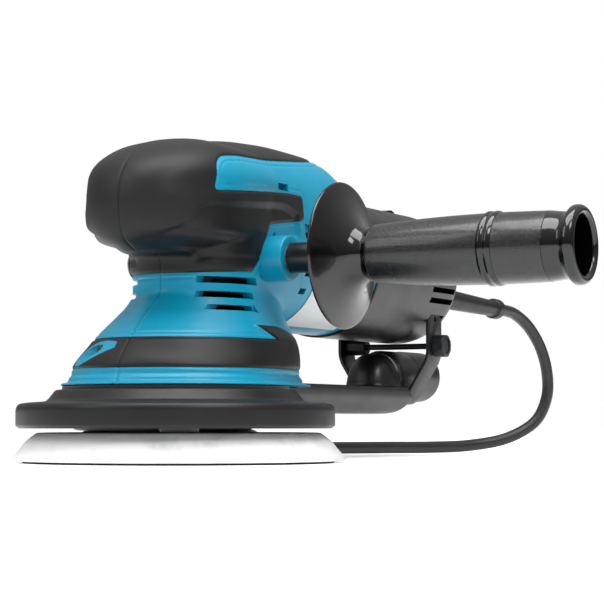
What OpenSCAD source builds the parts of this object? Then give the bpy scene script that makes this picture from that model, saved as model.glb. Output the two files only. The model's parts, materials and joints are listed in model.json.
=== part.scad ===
// Dual action polisher: an orbiting round pad under a palm grip body, with a motor lying
// behind it, a dust nozzle below the motor and a side handle on the left.
// X points forward, Y to the tool's left, Z up. The origin is on the spindle's axis,
// level with the working face of the pad.

/* [Pad] */
// Diameter of the backing pad
pad_d = 150; // [120:1:180]
// Height of the backing pad, with its facing
pad_h = 13.7; // [11:0.1:20]
// Thickness of the hook facing
facing_t = 1; // [0.8:0.1:2]
// Diameter of the circle that the pad's centre runs on
orbit_d = 5.5; // [4.5:0.1:6.6]

/* [Body] */
// Height of the rubber skirt
skirt_h = 17.2; // [14:0.1:22]
// Height of the blue foot and its collar, from the skirt to the soft band
foot_h = 8.8; // [7:0.1:12]
// Height of the soft band round the foot
band_h = 13.5; // [10:0.1:18]
// Height of the tapered waist above the band
waist_h = 22; // [18:0.5:28]
// Height of the narrow neck
neck_h = 15.9; // [13:0.1:20]
// Height of the head
head_h = 53.6; // [50:0.2:66]
// Width of the neck
neck_w = 60; // [56:0.5:72]
// Width of the head
head_w = 72; // [66:0.5:88]
// How far the nose reaches ahead of the spindle
nose_x = 48.4; // [44:0.2:60]
// How far the neck reaches ahead of the spindle
neck_x = 14; // [13.5:0.1:18]
// Wall of the plastic body
shell_t = 2.4; // [1.8:0.1:3]
// Thickness of the soft grip over the body
grip_t = 3; // [2:0.1:3.6]

/* [Motor] */
// Outside diameter of the motor housing
motor_d = 70; // [62:0.5:78]
// Length of the motor housing
motor_len = 79; // [74:0.5:95]
// Length of the black rear housing
rear_len = 106; // [92:0.5:128]
// Length of the laminated core
core_len = 42; // [35:0.5:46]
// Diameter of the armature shaft
shaft_d = 9; // [8:0.1:10]

/* [Drive] */
// Diameter of the spindle
spindle_d = 12; // [10:0.1:13]
// Teeth on the pad's gear
pad_teeth = 52; // [52]
// Teeth inside the fixed ring
ring_teeth = 58; // [58]
// Teeth on the bevel gear
gear_teeth = 39; // [39]
// Teeth on the bevel pinion
pinion_teeth = 9; // [9]

/* [Side handle] */
// Distance of the handle's axis behind the spindle
handle_back = 31; // [28:0.5:34]
// Length of the grip with its guard
handle_len = 116; // [96:1:140]
// Diameter of the grip at its widest
grip_d = 31.5; // [26:0.5:38]
// Diameter of the finger guard
guard_d = 66.8; // [55:0.5:80]
// Diameter of the handle's thread
stud_d = 8; // [8]

/* [Dust nozzle] */
// Outside diameter of the outlet pipe
outlet_d = 28; // [24:0.5:32]
// Length of the outlet that a hose cuff goes over
cuff_len = 27; // [20:1:27]
// Wall of the nozzle
nozzle_t = 2; // [1.5:0.1:3]
// Width of the duct
duct_w = 36; // [32:0.5:42]
// Width of the metal strap
strap_w = 17; // [13:0.5:20]

/* [Cord] */
// Diameter of the cord
cord_d = 7; // [6:0.1:8]
// Mean diameter of the stored coil
coil_d = 80; // [74:1:90]

/* [Hidden] */
$fn = 64;

gap = 0.3;              // clearance between pieces that sit side by side
fit = 0.03;             // radial clearance of a running fit
thread_gap = 0.1;       // radial clearance of the spare handle thread
e = orbit_d / 2;        // offset of the pad's axis from the spindle
blue = "#1591B4";
black = "#1C1D1F";
charcoal = "#37383B";
steel = "#A9ACB0";
alloy = "#B9BCC0";
copper = "#B5652A";

// Heights, from the working face up
pad_r = pad_d / 2;
plate_t = 3;
skirt_z = pad_h + 1.8;
foot_z = skirt_z + skirt_h + 1.5;
band_z = foot_z + foot_h - 1;
waist_z = band_z + band_h;
neck_z = waist_z + waist_h;
head_z = neck_z + neck_h;
head_top = head_z + head_h;
skirt_r = pad_r - 3;
skirt_top_r = skirt_r - 17.6;
foot_r = skirt_r - 19.7;
band_r = foot_r - 5;
waist_r = (band_r + neck_x) / 2 + 7;

// Lengths behind the spindle
body_back = -58;
motor_back = body_back - motor_len;
rear_back = motor_back - rear_len;
motor_r = motor_d / 2;
motor_z = head_z + 4.6;
rear_r = motor_r + 1;

// Gears
bevel_r = head_w / 2 - grip_t - shell_t - 6.4;
bevel_m = 2 * bevel_r / gear_teeth;
pinion_r = bevel_m * pinion_teeth / 2;
bevel_z = motor_z + pinion_r;
ring_m = 2 * e / (ring_teeth - pad_teeth);
ring_pitch_r = ring_m * ring_teeth;
pad_pitch_r = ring_m * pad_teeth;
case_r = bevel_r + 4.2;
case_t = 2.6;
case_z = bevel_z - 4.4;
case_h = 25.4;
spindle_r = spindle_d / 2;
shaft_r = shaft_d / 2;

function power(v, p) = sign(v) * pow(abs(v), p);
// One level outline: an oval about cx that reaches x_front ahead and x_back behind and is w wide
// each way, rounder in front (nf = 2) and squarer behind (nb > 2).
function oval(z, cx, x_front, x_back, w, nf, nb, cut = 0, count = 36) = [for (i = [0:count - 1])
    let (t = 360 * i / count, n = cos(t) >= 0 ? nf : nb, a = cos(t) >= 0 ? x_front - cx : cx - x_back)
    [cx + max(a - cut, 0.5) * power(cos(t), 2 / n), max(w - cut, 0.5) * power(sin(t), 2 / n), z]];
// One upright outline at x, between z_low and z_high
function arch(x, z_low, z_high, w, n, cut = 0, count = 28) = [for (i = [0:count - 1])
    let (t = 360 * i / count, h = (z_high - z_low) / 2 - cut)
    [x, -(w - cut) * power(cos(t), 2 / n), (z_low + z_high) / 2 + h * power(sin(t), 2 / n)]];

// A closed skin over rings of points that all have the same count
module skin(rings) {
    n = len(rings[0]);
    last = len(rings) - 1;
    polyhedron(points = [for (r = rings) for (p = r) p], faces = concat(
        [[for (i = [0:n - 1]) i]], [[for (i = [n - 1:-1:0]) last * n + i]],
        [for (k = [0:last - 1]) for (i = [0:n - 1]) let (j = (i + 1) % n) [k * n + i, (k + 1)
            * n + i, k * n + j]],
        [for (k = [0:last - 1]) for (i = [0:n - 1]) let (j = (i + 1) % n)
            [k * n + j, (k + 1) * n + i, (k + 1) * n + j]]));
}
module along_x(x, y = 0, z = motor_z) translate([x, y, z]) rotate([0, 90, 0]) children();
module along_y(x, y, z) translate([x, y, z]) rotate([-90, 0, 0]) children();
module rod(r, h, r2 = undef) cylinder(h = h, r1 = r, r2 = r2 == undef ? r : r2);
module tube(r, bore, h) difference() {
    rod(r, h);
    translate([0, 0, -1]) rod(bore, h + 2);
}
module tube_x(x, length, r, bore) along_x(x) tube(r, bore, length);
// A ball bearing with shields set a little below its rings
module bearing(bore, outer, h) rotate_extrude() difference() {
    translate([bore, 0]) square([outer - bore, h]);
    for (z = [-1, h - 0.5]) translate([bore + (outer - bore) * 0.28, z]) square([(outer - bore)
        * 0.44, 1.5]);
}
module rounded_slot(x0, x1, z, h, depth) hull() for (x = [x0 + h / 2, x1 - h / 2])
    along_y(x, -depth, z) cylinder(h = 2 * depth, r = h / 2, $fn = 16);

// ---- Pad ----
module at_pad() translate([-e, 0, 0]) children();
plate_r = pad_r - 15;
module hook_facing() color(black) at_pad() rod(pad_r - 4.5, facing_t);
module backing_pad() color("#F2F2F0") at_pad() rotate_extrude($fn = 128) polygon([[0, facing_t],
    [pad_r - 0.4, facing_t], [pad_r, facing_t + 0.8], [pad_r - 0.2, facing_t + 2], [pad_r - 2.4,
        pad_h - 8.6],
    [pad_r - 4.1, pad_h - 6.4], [pad_r - 5.5, pad_h - 4.4], [pad_r - 8.6, pad_h - 2], [pad_r - 11, pad_h],
    [plate_r, pad_h], [plate_r, pad_h - plate_t], [0, pad_h - plate_t]]);
module pad_plate() color(charcoal) at_pad() difference() {
    translate([0, 0, pad_h - plate_t]) rod(plate_r - gap, plate_t);
    translate([0, 0, pad_h - plate_t - 1]) rod(hub_r + fit, plate_t + 2);
}
hub_r = 9;
gear_h = 5;
gear_z = pad_h + 2.4;
carrier_z = gear_z + gear_h + 1.4;
pad_bearing_h = 10;
pad_bearing_r = 12;
pad_shaft_r = 5;
// Outline of a spur gear with straight-sided teeth about radius r, each a share of the pitch wide,
// and one of its teeth on the pad's side of the spindle. low and high add to a tooth's two ends.
module gear_outline(count, r, share, low = 0, high = 0) {
    step = 360 / count;
    slope = 0.08;
    polygon([for (i = [0:count - 1]) for (p = [[-share / 2 - slope, -tooth - low], [-share / 2 + slope,
        tooth + high],
        [share / 2 - slope, tooth + high], [share / 2 + slope, -tooth - low]])
        let (t = 180 + (i + p[0]) * step) (r + p[1]) * [cos(t), sin(t)]]);
}
tooth = 0.55 * ring_m;
root_gap = 0.2 * ring_m;
module pad_gear() color(steel) at_pad() {
    translate([0, 0, pad_h - plate_t]) difference() {
        rod(hub_r, gear_z - pad_h + plate_t);
        translate([0, 0, -1]) rod(3 + fit, 10);
    }
    translate([0, 0, gear_z]) difference() {
        linear_extrude(gear_h) gear_outline(pad_teeth, pad_pitch_r / 2, 0.38, low = root_gap);
        translate([0, 0, -1]) rod(3 + fit, gear_h + 2);
    }
    translate([0, 0, gear_z + gear_h]) difference() {
        union() {
            rod(pad_shaft_r + 1.6, 1.1);
            rod(pad_shaft_r - fit, pad_bearing_h + 1.4);
        }
        translate([0, 0, -1]) rod(3 + fit, pad_bearing_h + 4);
    }
}
module pad_bolt() color(steel) at_pad() {
    translate([0, 0, pad_h - plate_t]) rod(3, carrier_z + pad_bearing_h - pad_h + plate_t);
    translate([0, 0, carrier_z + pad_bearing_h]) cylinder(h = 2.4, r = 6, $fn = 6);
}
module pad_bearing() color(steel) at_pad() translate([0, 0, carrier_z]) bearing(pad_shaft_r, pad_bearing_r,
    pad_bearing_h - 0.2);

// ---- Spindle and gears ----
carrier_r = pad_bearing_r + e + 2.4;
carrier_top = carrier_z + pad_bearing_h + 3.4;
collar_top = carrier_top + 9;
lower_z = collar_top + 1;
bearing_h = 9;
lower_r = spindle_r + 8;
tip_share = 0.72;
bevel_low = tip_share * (pinion_r + 0.9 * bevel_m * sin(atan2(bevel_r, pinion_r)));
gear_seat = motor_z + bevel_low;
upper_z = gear_seat + 11;
upper_r = spindle_r + 6;
module eccentric_carrier() color(steel) difference() {
    union() {
        translate([0, 0, carrier_z]) rod(carrier_r, carrier_top - carrier_z);
        translate([0, 0, carrier_top - 0.01]) rod(spindle_r + 4, collar_top - carrier_top);
        intersection() {
            translate([0, 0, carrier_z]) rod(ring_in_r - 3, foot_z - carrier_z - 1.2);
            translate([4, -ring_in_r, carrier_z - 1]) cube([ring_in_r, 2 * ring_in_r, 20]);
        }
    }
    translate([-e, 0, carrier_z - 1]) rod(pad_bearing_r + fit, pad_bearing_h + 1);
    translate([-e, 0, carrier_z]) rod(pad_bearing_r - 1.5, pad_bearing_h + 3);
    translate([0, 0, carrier_top]) rod(spindle_r + fit, 20);
}
module spindle() color(steel) difference() {
    union() {
        translate([0, 0, carrier_top]) rod(spindle_r, gear_seat - carrier_top);
        translate([0, 0, gear_seat - 0.01]) rod(spindle_r - 0.8, upper_z + bearing_h + 4 - gear_seat);
    }
    translate([0, 0, carrier_top - 1]) rod(1.5, 12);
}
// One straight bevel tooth, which narrows towards the point where the two shafts' axes cross
module bevel_tooth(r, h, share) {
    long = norm([r, h]);
    lean = atan2(r, h);
    m = bevel_m;
    half = share * PI * m / 2;
    outline = [[-half - 0.12 * m, -0.95 * m], [half + 0.12 * m, -0.95 * m], [half * 0.62, 0.6 * m],
        [-half * 0.62, 0.6 * m]];
    function at(p, s) = [s * (long * sin(lean) + p[1] * cos(lean)), s * p[0],
        s * (long * cos(lean) - p[1] * sin(lean))];
    polyhedron(points = [for (s = [1, tip_share + 0.02]) for (p = outline)
        at(p, s)], faces = [[0, 1, 2, 3], [7, 6, 5, 4],
        [0, 4, 5, 1], [1, 5, 6, 2], [2, 6, 7, 3], [3, 7, 4, 0]]);
}
// The body under a bevel gear's teeth: r and h place its pitch circle from the crossing point
module bevel_body(r, h, back) {
    long = norm([r, h]);
    lean = atan2(r, h);
    root = -0.9 * bevel_m;
    function at(s) = [s * (long * sin(lean) + root * cos(lean)), s * (long * cos(lean) - root * sin(lean))];
    rotate_extrude() polygon([[0, at(tip_share)[1]], at(tip_share), at(1.01), [at(1.01)[0], back], [0,
        back]]);
}
module bevel_gear() color(steel) translate([0, 0, motor_z]) difference() {
    union() {
        bevel_body(bevel_r, pinion_r, pinion_r + 4.6);
        for (i = [0:gear_teeth - 1]) rotate([0, 0, (i + 0.5) * 360 / gear_teeth + 180])
            bevel_tooth(bevel_r, pinion_r, 0.4);
        translate([0, 0, pinion_r]) rod(spindle_r + 4, upper_z - gap - bevel_z);
    }
    translate([0, 0, -10]) rod(spindle_r - 0.8 + fit, 60);
}
module spindle_nut() color(steel) translate([0, 0, upper_z + bearing_h]) difference() {
    cylinder(h = 3.6, r = spindle_r + 2.4, $fn = 6);
    translate([0, 0, -1]) rod(spindle_r - 0.8 + fit, 10);
}
module bevel_pinion() color(steel) along_x(0) rotate([0, 180, 0]) difference() {
    union() {
        bevel_body(pinion_r, bevel_r, bevel_r + 3.4);
        for (i = [0:pinion_teeth - 1]) rotate([0, 0, i * 360 / pinion_teeth])
            bevel_tooth(pinion_r, bevel_r, 0.4);
    }
    translate([0, 0, bevel_r * 0.5]) rod(shaft_r - 1.5 + fit, bevel_r);
}
ring_in_r = skirt_top_r - 6;
module ring_gear() color(charcoal) translate([0, 0, gear_z]) difference() {
    union() {
        rod(ring_in_r + 3, 3);
        rod(ring_pitch_r / 2 + 6, gear_h);
        tube(ring_in_r + 3, ring_in_r, foot_z - gear_z);
    }
    translate([0, 0, -1]) linear_extrude(gear_h + 2) gear_outline(ring_teeth, ring_pitch_r / 2, 0.62,
        high = root_gap);
}
module base_plate() color(alloy) translate([0, 0, foot_z]) difference() {
    rod(foot_r - 6, 3);
    translate([0, 0, -1]) rod(carrier_r + 1.5, 5);
}
module lower_bearing() color(steel) translate([0, 0, lower_z]) bearing(spindle_r + fit, lower_r, bearing_h);
module upper_bearing() color(steel) translate([0, 0, upper_z])
    bearing(spindle_r - 0.8 + fit, upper_r, bearing_h);

// ---- Gear case, with a threaded boss for the handle on each side ----
boss_y = head_w / 2 + 7;
handle_x = -handle_back;
handle_z = head_z;
front_bearing_r = shaft_r + 7.5;
front_bearing_x = -46;
boss_r = stud_d / 2 + 2.6;
module case_drum(grow) translate([0, 0, case_z - grow]) {
    rod(case_r - 3 + grow, case_h + 2 * grow);
    translate([0, 0, 3]) rod(case_r + grow, case_h - 3 + 2 * grow);
}
module gear_case() color(alloy) difference() {
    union() {
        case_drum(0);
        translate([0, 0, lower_z - 2]) rod(lower_r + 2.6, bearing_h + 4);
        translate([0, 0, lower_z]) rod(neck_x - grip_t - shell_t - gap, case_z - lower_z + 1);
        along_x(body_back + gap) rod(front_bearing_r + 6, -body_back - 14);
        along_y(handle_x, -boss_y, handle_z) rod(boss_r, 2 * boss_y);
    }
    translate([0, 0, case_z + 2]) rod(case_r - case_t, upper_z - case_z - 3);
    translate([0, 0, upper_z - 3]) rod(upper_r + fit, bearing_h + 3);
    translate([0, 0, upper_z]) rod(spindle_r + 3.4, 30);
    translate([0, 0, lower_z - 5]) rod(lower_r + fit, bearing_h + 5);
    translate([0, 0, lower_z - 5]) rod(spindle_r + 0.6, 90);
    along_x(-bevel_r - 5) rod(pinion_r + 3, bevel_r + 6);
    along_x(front_bearing_x - 20) rod(front_bearing_r + fit, 20 + bearing_h);
    along_x(front_bearing_x - 20) rod(shaft_r + 1.5, 40);
    along_y(handle_x, front_bearing_r + 3, handle_z) rod(stud_d / 2 + fit, boss_y);
    mirror([0, 1, 0]) along_y(handle_x, front_bearing_r + 3, handle_z) rod(stud_d / 2 + thread_gap, boss_y);
}

// ---- Body ----
// Rows of the lower body: height, middle, front, back, half-width, squareness in front and behind
neck_c = -20;
shoulder = neck_w / 2;
function lower_rows() = [[foot_z, 0, foot_r, -foot_r - 9.7, foot_r, 2, 3.2],
    [foot_z + 3.2, 0, foot_r - 0.3, -foot_r - 9.4, foot_r - 0.3, 2, 3.2],
    [foot_z + 3.8, 0, foot_r - 4.8, -foot_r - 5.2, foot_r - 4.3, 2, 3.2],
    [band_z, -4, band_r, -foot_r - 1, band_r + 1.2, 2, 3.2],
    [waist_z, neck_c, band_r - 9.6, -51, band_r - 3.3, 2, 3.2],
    [waist_z + 5.5, neck_c, band_r - 15.3, -57, band_r - 8, 2, 3],
    [waist_z + waist_h / 2, neck_c, waist_r - 11.6, -62, shoulder + 4, 2, 3],
    [neck_z - 5.6, neck_c, neck_x + 5, -64, shoulder + 0.7, 2, 3],
    [neck_z, neck_c, neck_x, -64, shoulder - 0.3, 2, 3],
    [neck_z + 8, neck_c, neck_x, -64, shoulder + 0.4, 2, 3],
    [head_z - 3.4, neck_c, neck_x + 0.2, -64, shoulder + 2, 2, 3],
    [head_z, neck_c, neck_x + 0.8, -64, shoulder + 4.5, 2, 3],
    [head_z + 8, neck_c, neck_x + 1, -64, shoulder + 5, 2, 3]];
// Rows of the head, from its underside to its crown
head_r = head_w / 2;
function head_rows() = [[0, -14, 17.9], [2.4, -8.5, 20], [3.9, -6, 25.6], [6, -4, 32], [9.2, -2,
    head_r - 0.6],
    [14.4, -0.7, head_r + 0.2], [21.6, 0, head_r], [28.4, -0.8, head_r - 0.6], [34.1, -3, head_r],
    [39.3, -7, head_r - 1.4], [43.8, -13.4, head_r - 4.4], [47, -20, head_r - 7.2], [49.2, -25.6,
        head_r - 10.6],
    [51.3, -33, head_r - 17.6], [52.9, -39.6, head_r - 22.8], [head_h, -46, head_r - 30]];
module lower_form(cut, open = 0) {
    rings = [for (r = lower_rows()) oval(r[0] - (r[0] == foot_z ? open : 0), r[1], r[2], r[3], r[4],
        r[5], r[6], cut)];
    for (k = [1:len(rings) - 1]) hull() skin([rings[k - 1], rings[k]]);
}
module head_form(cut) skin([for (r = head_rows()) let (z = head_z + r[0] * head_h / 53.6,
    inside = min(max(z, head_z + cut), head_top - cut))
    oval(inside, -5, nose_x + r[1], -40, r[2], 2.3, 2.6, cut)]);
// Rows of the saddle that runs back over the motor: place, drop of the crown, half-width
function saddle_rows() = [[0, -3, -3], [-20, 1.7, -1.5], [-38, 3.2, -0.5], [-58, 4, 0], [-86, 3.6, 0],
    [-98, 2.4, 0], [-108, -1, 0], [-118, -5, 0], [-127, -9.6, 0], [-134, -15.4, 0]];
module saddle_form(cut) skin([for (r = saddle_rows())
    arch(r[0] < body_back ? body_back + (r[0] - body_back) * motor_len / 79 : r[0], head_z - 28,
        head_top + r[1],
        head_r - 0.4 + r[2], 2.4, cut)]);
// The blue body's outer shape, set in by cut; open carries a hollow out through the foot and the back
module body_form(cut, open = 0) difference() {
    union() {
        lower_form(cut, open);
        head_form(cut);
        saddle_form(cut);
    }
    translate([body_back - 100 - open, -100, 0]) cube([100, 200, head_z + 18.6]);
}
// Side outline of the soft grip: nose, underside of the head, tongue and top strip
module grip_zone() rotate([90, 0, 0]) linear_extrude(200, center = true) polygon([[80, head_z - 8.6],
    [neck_x, head_z - 8.6], [-17, head_z - 6.6], [-29, head_z + 16], [body_back + 1, head_z + 20],
    [body_back + 1, head_z + 31.6], [-41, head_z + 31.6], [20, head_z + 26.6], [18, head_z + 39],
    [12, head_z + 43], [0, head_z + 44.6], [-30, head_z + 46], [-60, head_z + 49], [-85, head_z + 52],
    [-104, head_z + 56], [-104, head_z + 80], [80, head_z + 80]]);
// Side outline of the soft band round the foot, with its raised horn behind
module band_zone() rotate([90, 0, 0]) linear_extrude(200, center = true)
    polygon([[80, band_z], [80, waist_z],
    [-16, waist_z], [-9, waist_z + 6.4], [-27, waist_z + 6.4], [-44, waist_z + 0.4], [-53, band_z]]);
module side(s) translate([-200, s > 0 ? 0 : -200, 0]) cube([400, 200, 300]);
module layer() difference() {
    body_form(0);
    body_form(grip_t);
}
vents = [[-22, 33, neck_z + 4.6, 3.2], [-19, 33, neck_z - 2, 3], [-17, 24, neck_z - 8, 2.6]];
nose_vents = [neck_z + 4.4, neck_z - 2.2];
front_screw = [band_r - 11, band_z + 6.5];
screw_spots = [front_screw, [34.5, head_z + 22], [-48, head_z + 47.6], [-38, waist_z + 3]];
post_r = 4.4;
screw_r = 2;
screw_head_r = 3.6;
// One half of the blue body: s is 1 on the left and -1 on the right
module body_half(s) difference() {
    union() {
        difference() {
            union() {
                difference() {
                    body_form(0);
                    grip_zone();
                    band_zone();
                }
                body_form(grip_t);
                along_y(handle_x, -boss_y + gap, handle_z) rod(boss_r + 4, 2 * (boss_y - gap));
            }
            body_form(grip_t + shell_t, 1);
        }
        intersection() {
            body_form(grip_t + 1);
            for (p = screw_spots) along_y(p[0], -100, p[1]) rod(post_r, 200);
        }
    }
    side(-s);
    translate([0, 0, foot_z - 1]) rod(foot_r - 6 + gap, 4 + gap);
    case_drum(gap);
    along_y(handle_x, -100, handle_z) rod(boss_r + gap, 200);
    along_x(motor_back - 10) rod(motor_r + gap, motor_len + 10 + gap);
    for (v = vents) rounded_slot(v[0], v[1], v[2], v[3], 100);
    for (z = nose_vents) hull() for (y = [4, 30]) along_x(0, s * y, z) cylinder(h = 60, r = 1.4, $fn = 16);
    for (p = screw_spots) {
        along_y(p[0], -100, p[1]) rod(screw_r + gap, 112);
        along_y(p[0], -100, p[1]) rod(screw_head_r + gap, 86);
    }
    hull() for (z = [-2, 2]) translate([-46, s * head_r, head_z + 36 + z]) cube([8, 12, 1], center = true);
}
module body_left() color(blue) body_half(1);
module body_right() color(blue) body_half(-1);
// Shallow hollows for the fingertips, one on each flank of the head
module finger_hollow(s) hull() for (p = [[26, 14], [8, 4], [-14, 12]])
    translate([p[0], s * (head_r + 9.4), head_z + p[1]]) sphere(r = 10, $fn = 24);
module grip_half(s) difference() {
    intersection() {
        layer();
        grip_zone();
        side(s);
    }
    finger_hollow(s);
    along_y(handle_x, -100, handle_z) rod(boss_r + 4 + gap, 200);
    for (p = screw_spots) along_y(p[0], -100, p[1]) rod(screw_head_r + gap, 86);
    // The joint between the grip's segments, cut as thin grooves
    for (x = [-100:14:-44]) hull() for (y = [-3, 3]) translate([x, y, head_top + 8])
        cube(0.4, center = true);
}
module head_grip_left() color(charcoal) grip_half(1);
module head_grip_right() color(charcoal) grip_half(-1);
module band_half(s) difference() {
    intersection() {
        layer();
        band_zone();
        side(s);
    }
    along_y(front_screw[0], -100, front_screw[1]) rod(screw_head_r + 0.5, 86);
    along_y(front_screw[0], -100, front_screw[1]) rod(screw_r + gap, 120);
}
module base_band_left() color(charcoal) band_half(1);
module base_band_right() color(charcoal) band_half(-1);
module body_screws() color(steel) for (p = screw_spots) along_y(p[0], -14 - 2.4, p[1]) difference() {
    union() {
        rod(screw_head_r, 2.4);
        rod(screw_r, 26);
    }
    translate([0, 0, -1]) cylinder(h = 2.4, r = 1.6, $fn = 6);
}

// ---- Skirt ----
duct_z = skirt_z + 7.5;
duct_top = duct_z + 14.5;
module skirt() color(black) difference() {
    rotate_extrude($fn = 128) polygon([[skirt_r - 2, skirt_z], [skirt_r, skirt_z + 1.5], [skirt_r,
        skirt_z + 8.6],
        [skirt_r - 0.9, skirt_z + 10.4], [skirt_r - 3, skirt_z + 11.3], [skirt_r - 12.8, skirt_z + 12.1],
        [skirt_top_r + 3.6, skirt_z + 12.6], [skirt_top_r, skirt_z + skirt_h],
        [skirt_top_r - 2.4, skirt_z + skirt_h], [skirt_top_r - 2.4, skirt_z + 9], [skirt_r - 5, skirt_z + 7],
        [skirt_r - 5, skirt_z]]);
    translate([-skirt_r - 1, -duct_w / 2 - gap, duct_z - gap]) cube([25, duct_w + 2 * gap, 30]);
}

// ---- Motor housing and what is in it ----
wall = 2.6;
core_x = motor_back + 4;
core_r = motor_r - wall - gap;
rotor_r = 0.56 * motor_r;
air = 0.5;
module motor_housing() color(blue) difference() {
    tube_x(motor_back, motor_len, motor_r, motor_r - wall);
    for (a = [-30:15:30]) along_x(body_back - 9) rotate([0, 0, a]) translate([motor_r - 6, -1.6, 0])
        cube([12, 3.2, 6]);
}
module rear_profile() polygon([[rear_r - wall - 2.4, 6], [rear_r - wall - 2.4, rear_len - 3],
    [rear_r - wall, rear_len - 3], [rear_r - wall, rear_len], [rear_r, rear_len], [rear_r, 11],
    [rear_r - 1.6, 5], [rear_r - 5, 1.6], [rear_r - 10, 0], [0, 0], [0, 4], [rear_r - 12, 4],
    [rear_r - wall - 3.6, 4.6]]);
strap_x = rear_back + 20.3;
guard_y = 17;
guard_z = motor_z - 9;
rear_screw_spots = [[-22, -6], [16, 17]];
module rear_housing() color(black) difference() {
    union() {
        along_x(rear_back) rotate_extrude($fn = 96) rear_profile();
        for (p = rear_screw_spots) along_x(rear_back + 2, p[0], motor_z + p[1]) rod(4, 16);
    }
    for (p = rear_screw_spots) along_x(rear_back - 1, p[0], motor_z + p[1]) rod(2, 18);
    for (s = [-1, 1], z = [-8, -13.7, 10, 15.7]) translate([rear_back + 10,
        s > 0 ? rear_r - 12 : -rear_r - 2,
        motor_z + z - 1.45]) cube([29, 14, 2.9]);
    for (s = [0, 1]) mirror([0, s, 0]) {
        translate([strap_x - strap_w / 2 - gap, 25.8, motor_z - rear_r - 1])
            cube([strap_w + 2 * gap, 12, rear_r - 20]);
        along_y(strap_x, 10, motor_z - 23) rod(1.5 + fit, 30);
    }
    along_x(rear_back - 1, guard_y, guard_z) rod(cord_d / 2 + 2.5 + gap, 10);
    translate([switch_x - 9, -rear_r - 1, motor_z - 4.5]) cube([18 + 5, 10, 9]);
    translate([dial_x - dial_r - gap, -3.5, motor_z + 20]) cube([2 * (dial_r + gap), 7, 30]);
}
module rear_screws() color(steel) for (p = rear_screw_spots) along_x(rear_back - 2.3, p[0], motor_z + p[1]) {
    rod(3.4, 2.2);
    rod(1.8, 16);
}
module rating_plate() color("#DADCDD") along_x(motor_back + 8) rotate([0, 0, 22]) rotate_extrude(angle = 44)
    translate([motor_r + 0.05, 0]) square([0.4, 56]);
rear_bearing_r = shaft_r + 6;
rear_bearing_x = motor_back - 46;
commutator_x = motor_back - 24;
module armature_shaft() color(steel) {
    along_x(rear_bearing_x - 2) rod(shaft_r - 1, 6);
    along_x(rear_bearing_x + bearing_h) rod(shaft_r, front_bearing_x - rear_bearing_x - bearing_h +
        bearing_h);
    along_x(front_bearing_x + bearing_h) rod(shaft_r - 1.5, -front_bearing_x - bearing_h - bevel_r * 0.72);
    along_x(rear_bearing_x + 3.9) rod(shaft_r - 1, 5.2);
}
module armature_core() color(steel) along_x(core_x) difference() {
    linear_extrude(core_len) difference() {
        circle(rotor_r - air);
        for (i = [0:11]) rotate(i * 30) translate([rotor_r - 9, -1.4]) square([12, 2.8]);
    }
    translate([0, 0, -1]) rod(shaft_r + fit, core_len + 2);
}
module commutator() color(copper) tube_x(commutator_x, 18, 11.5, shaft_r + fit);
fan_x = body_back - 14;
module cooling_fan() color(black) along_x(fan_x) difference() {
    union() {
        rod(motor_r - wall - 3, 1.6);
        rod(shaft_r + 4, 9);
        for (i = [0:10]) rotate([0, 0, i * 360 / 11]) translate([shaft_r + 3, -0.8, 1.5])
            cube([motor_r - wall - 4 - shaft_r - 3, 1.6, 7.5]);
    }
    translate([0, 0, -1]) rod(shaft_r + fit, 12);
}
module front_bearing() color(steel) along_x(front_bearing_x) bearing(shaft_r + fit, front_bearing_r,
    bearing_h);
module rear_bearing() color(steel) along_x(rear_bearing_x) bearing(shaft_r - 1 + fit, rear_bearing_r,
    bearing_h - 0.2);
module stator() color(steel) along_x(core_x) difference() {
    rod(core_r, core_len);
    translate([0, 0, -1]) rod(rotor_r, core_len + 2);
    for (a = [0, 180]) rotate([0, 0, a]) translate([0, rotor_r - 3, -1]) rotate([0, 0, 45])
        cube([8, 8, core_len + 2]);
}
module field_coils() color(copper) for (s = [0, 1]) mirror([0, s, 0])
    for (x = [core_x - 4.2, core_x + core_len + 0.2])
    along_x(x) rotate([0, 0, 55]) rotate_extrude(angle = 70) translate([rotor_r + 1, 0])
        square([core_r - rotor_r - 3, 4]);
module brush_holders() color(alloy) for (s = [0, 1]) mirror([0, s, 0]) difference() {
    translate([commutator_x + 3, 14, motor_z - 5.5]) cube([12, rear_r - wall - 3.4 - 14, 11]);
    translate([commutator_x + 4.6, 10, motor_z - 3.5]) cube([8.8, 30, 7]);
}
module carbon_brushes() color("#3A3A3C") for (s = [0, 1]) mirror([0, s, 0])
    translate([commutator_x + 4.8, 11.7, motor_z - 3.3]) cube([8.4, 9, 6.6]);
module brush_springs() color(steel) for (s = [0, 1]) mirror([0, s, 0])
    along_y(commutator_x + 9, 20.9, motor_z)
    for (i = [0:2]) translate([0, 0, 0.1 + i * 2.6]) tube(2.8, 2, 1.2);
switch_x = rear_back + 46;
module switch_body() color(charcoal) translate([switch_x - 13, -rear_r + wall + 5.2, motor_z - 9])
    cube([30, 15, 18]);
module switch_slider() color(charcoal) difference() {
    union() {
        translate([switch_x - 8.6, -rear_r - 1.6, motor_z - 4.1]) cube([17, 6.6, 8.2]);
        translate([switch_x - 3, -rear_r + 4.8, motor_z - 2]) cube([5, wall + 0.2, 4]);
    }
    for (i = [-2:2]) translate([switch_x - 0.4 + i * 2.6, -rear_r - 2, motor_z - 5]) cube([0.9, 0.9, 10]);
}
module speed_controller() color("#2F6B45") translate([rear_back + 10, -18, motor_z - 22]) cube([26, 24, 6]);
dial_x = rear_back + 24;
dial_r = 9;
dial_z = motor_z + rear_r - dial_r + 1.8;
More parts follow.
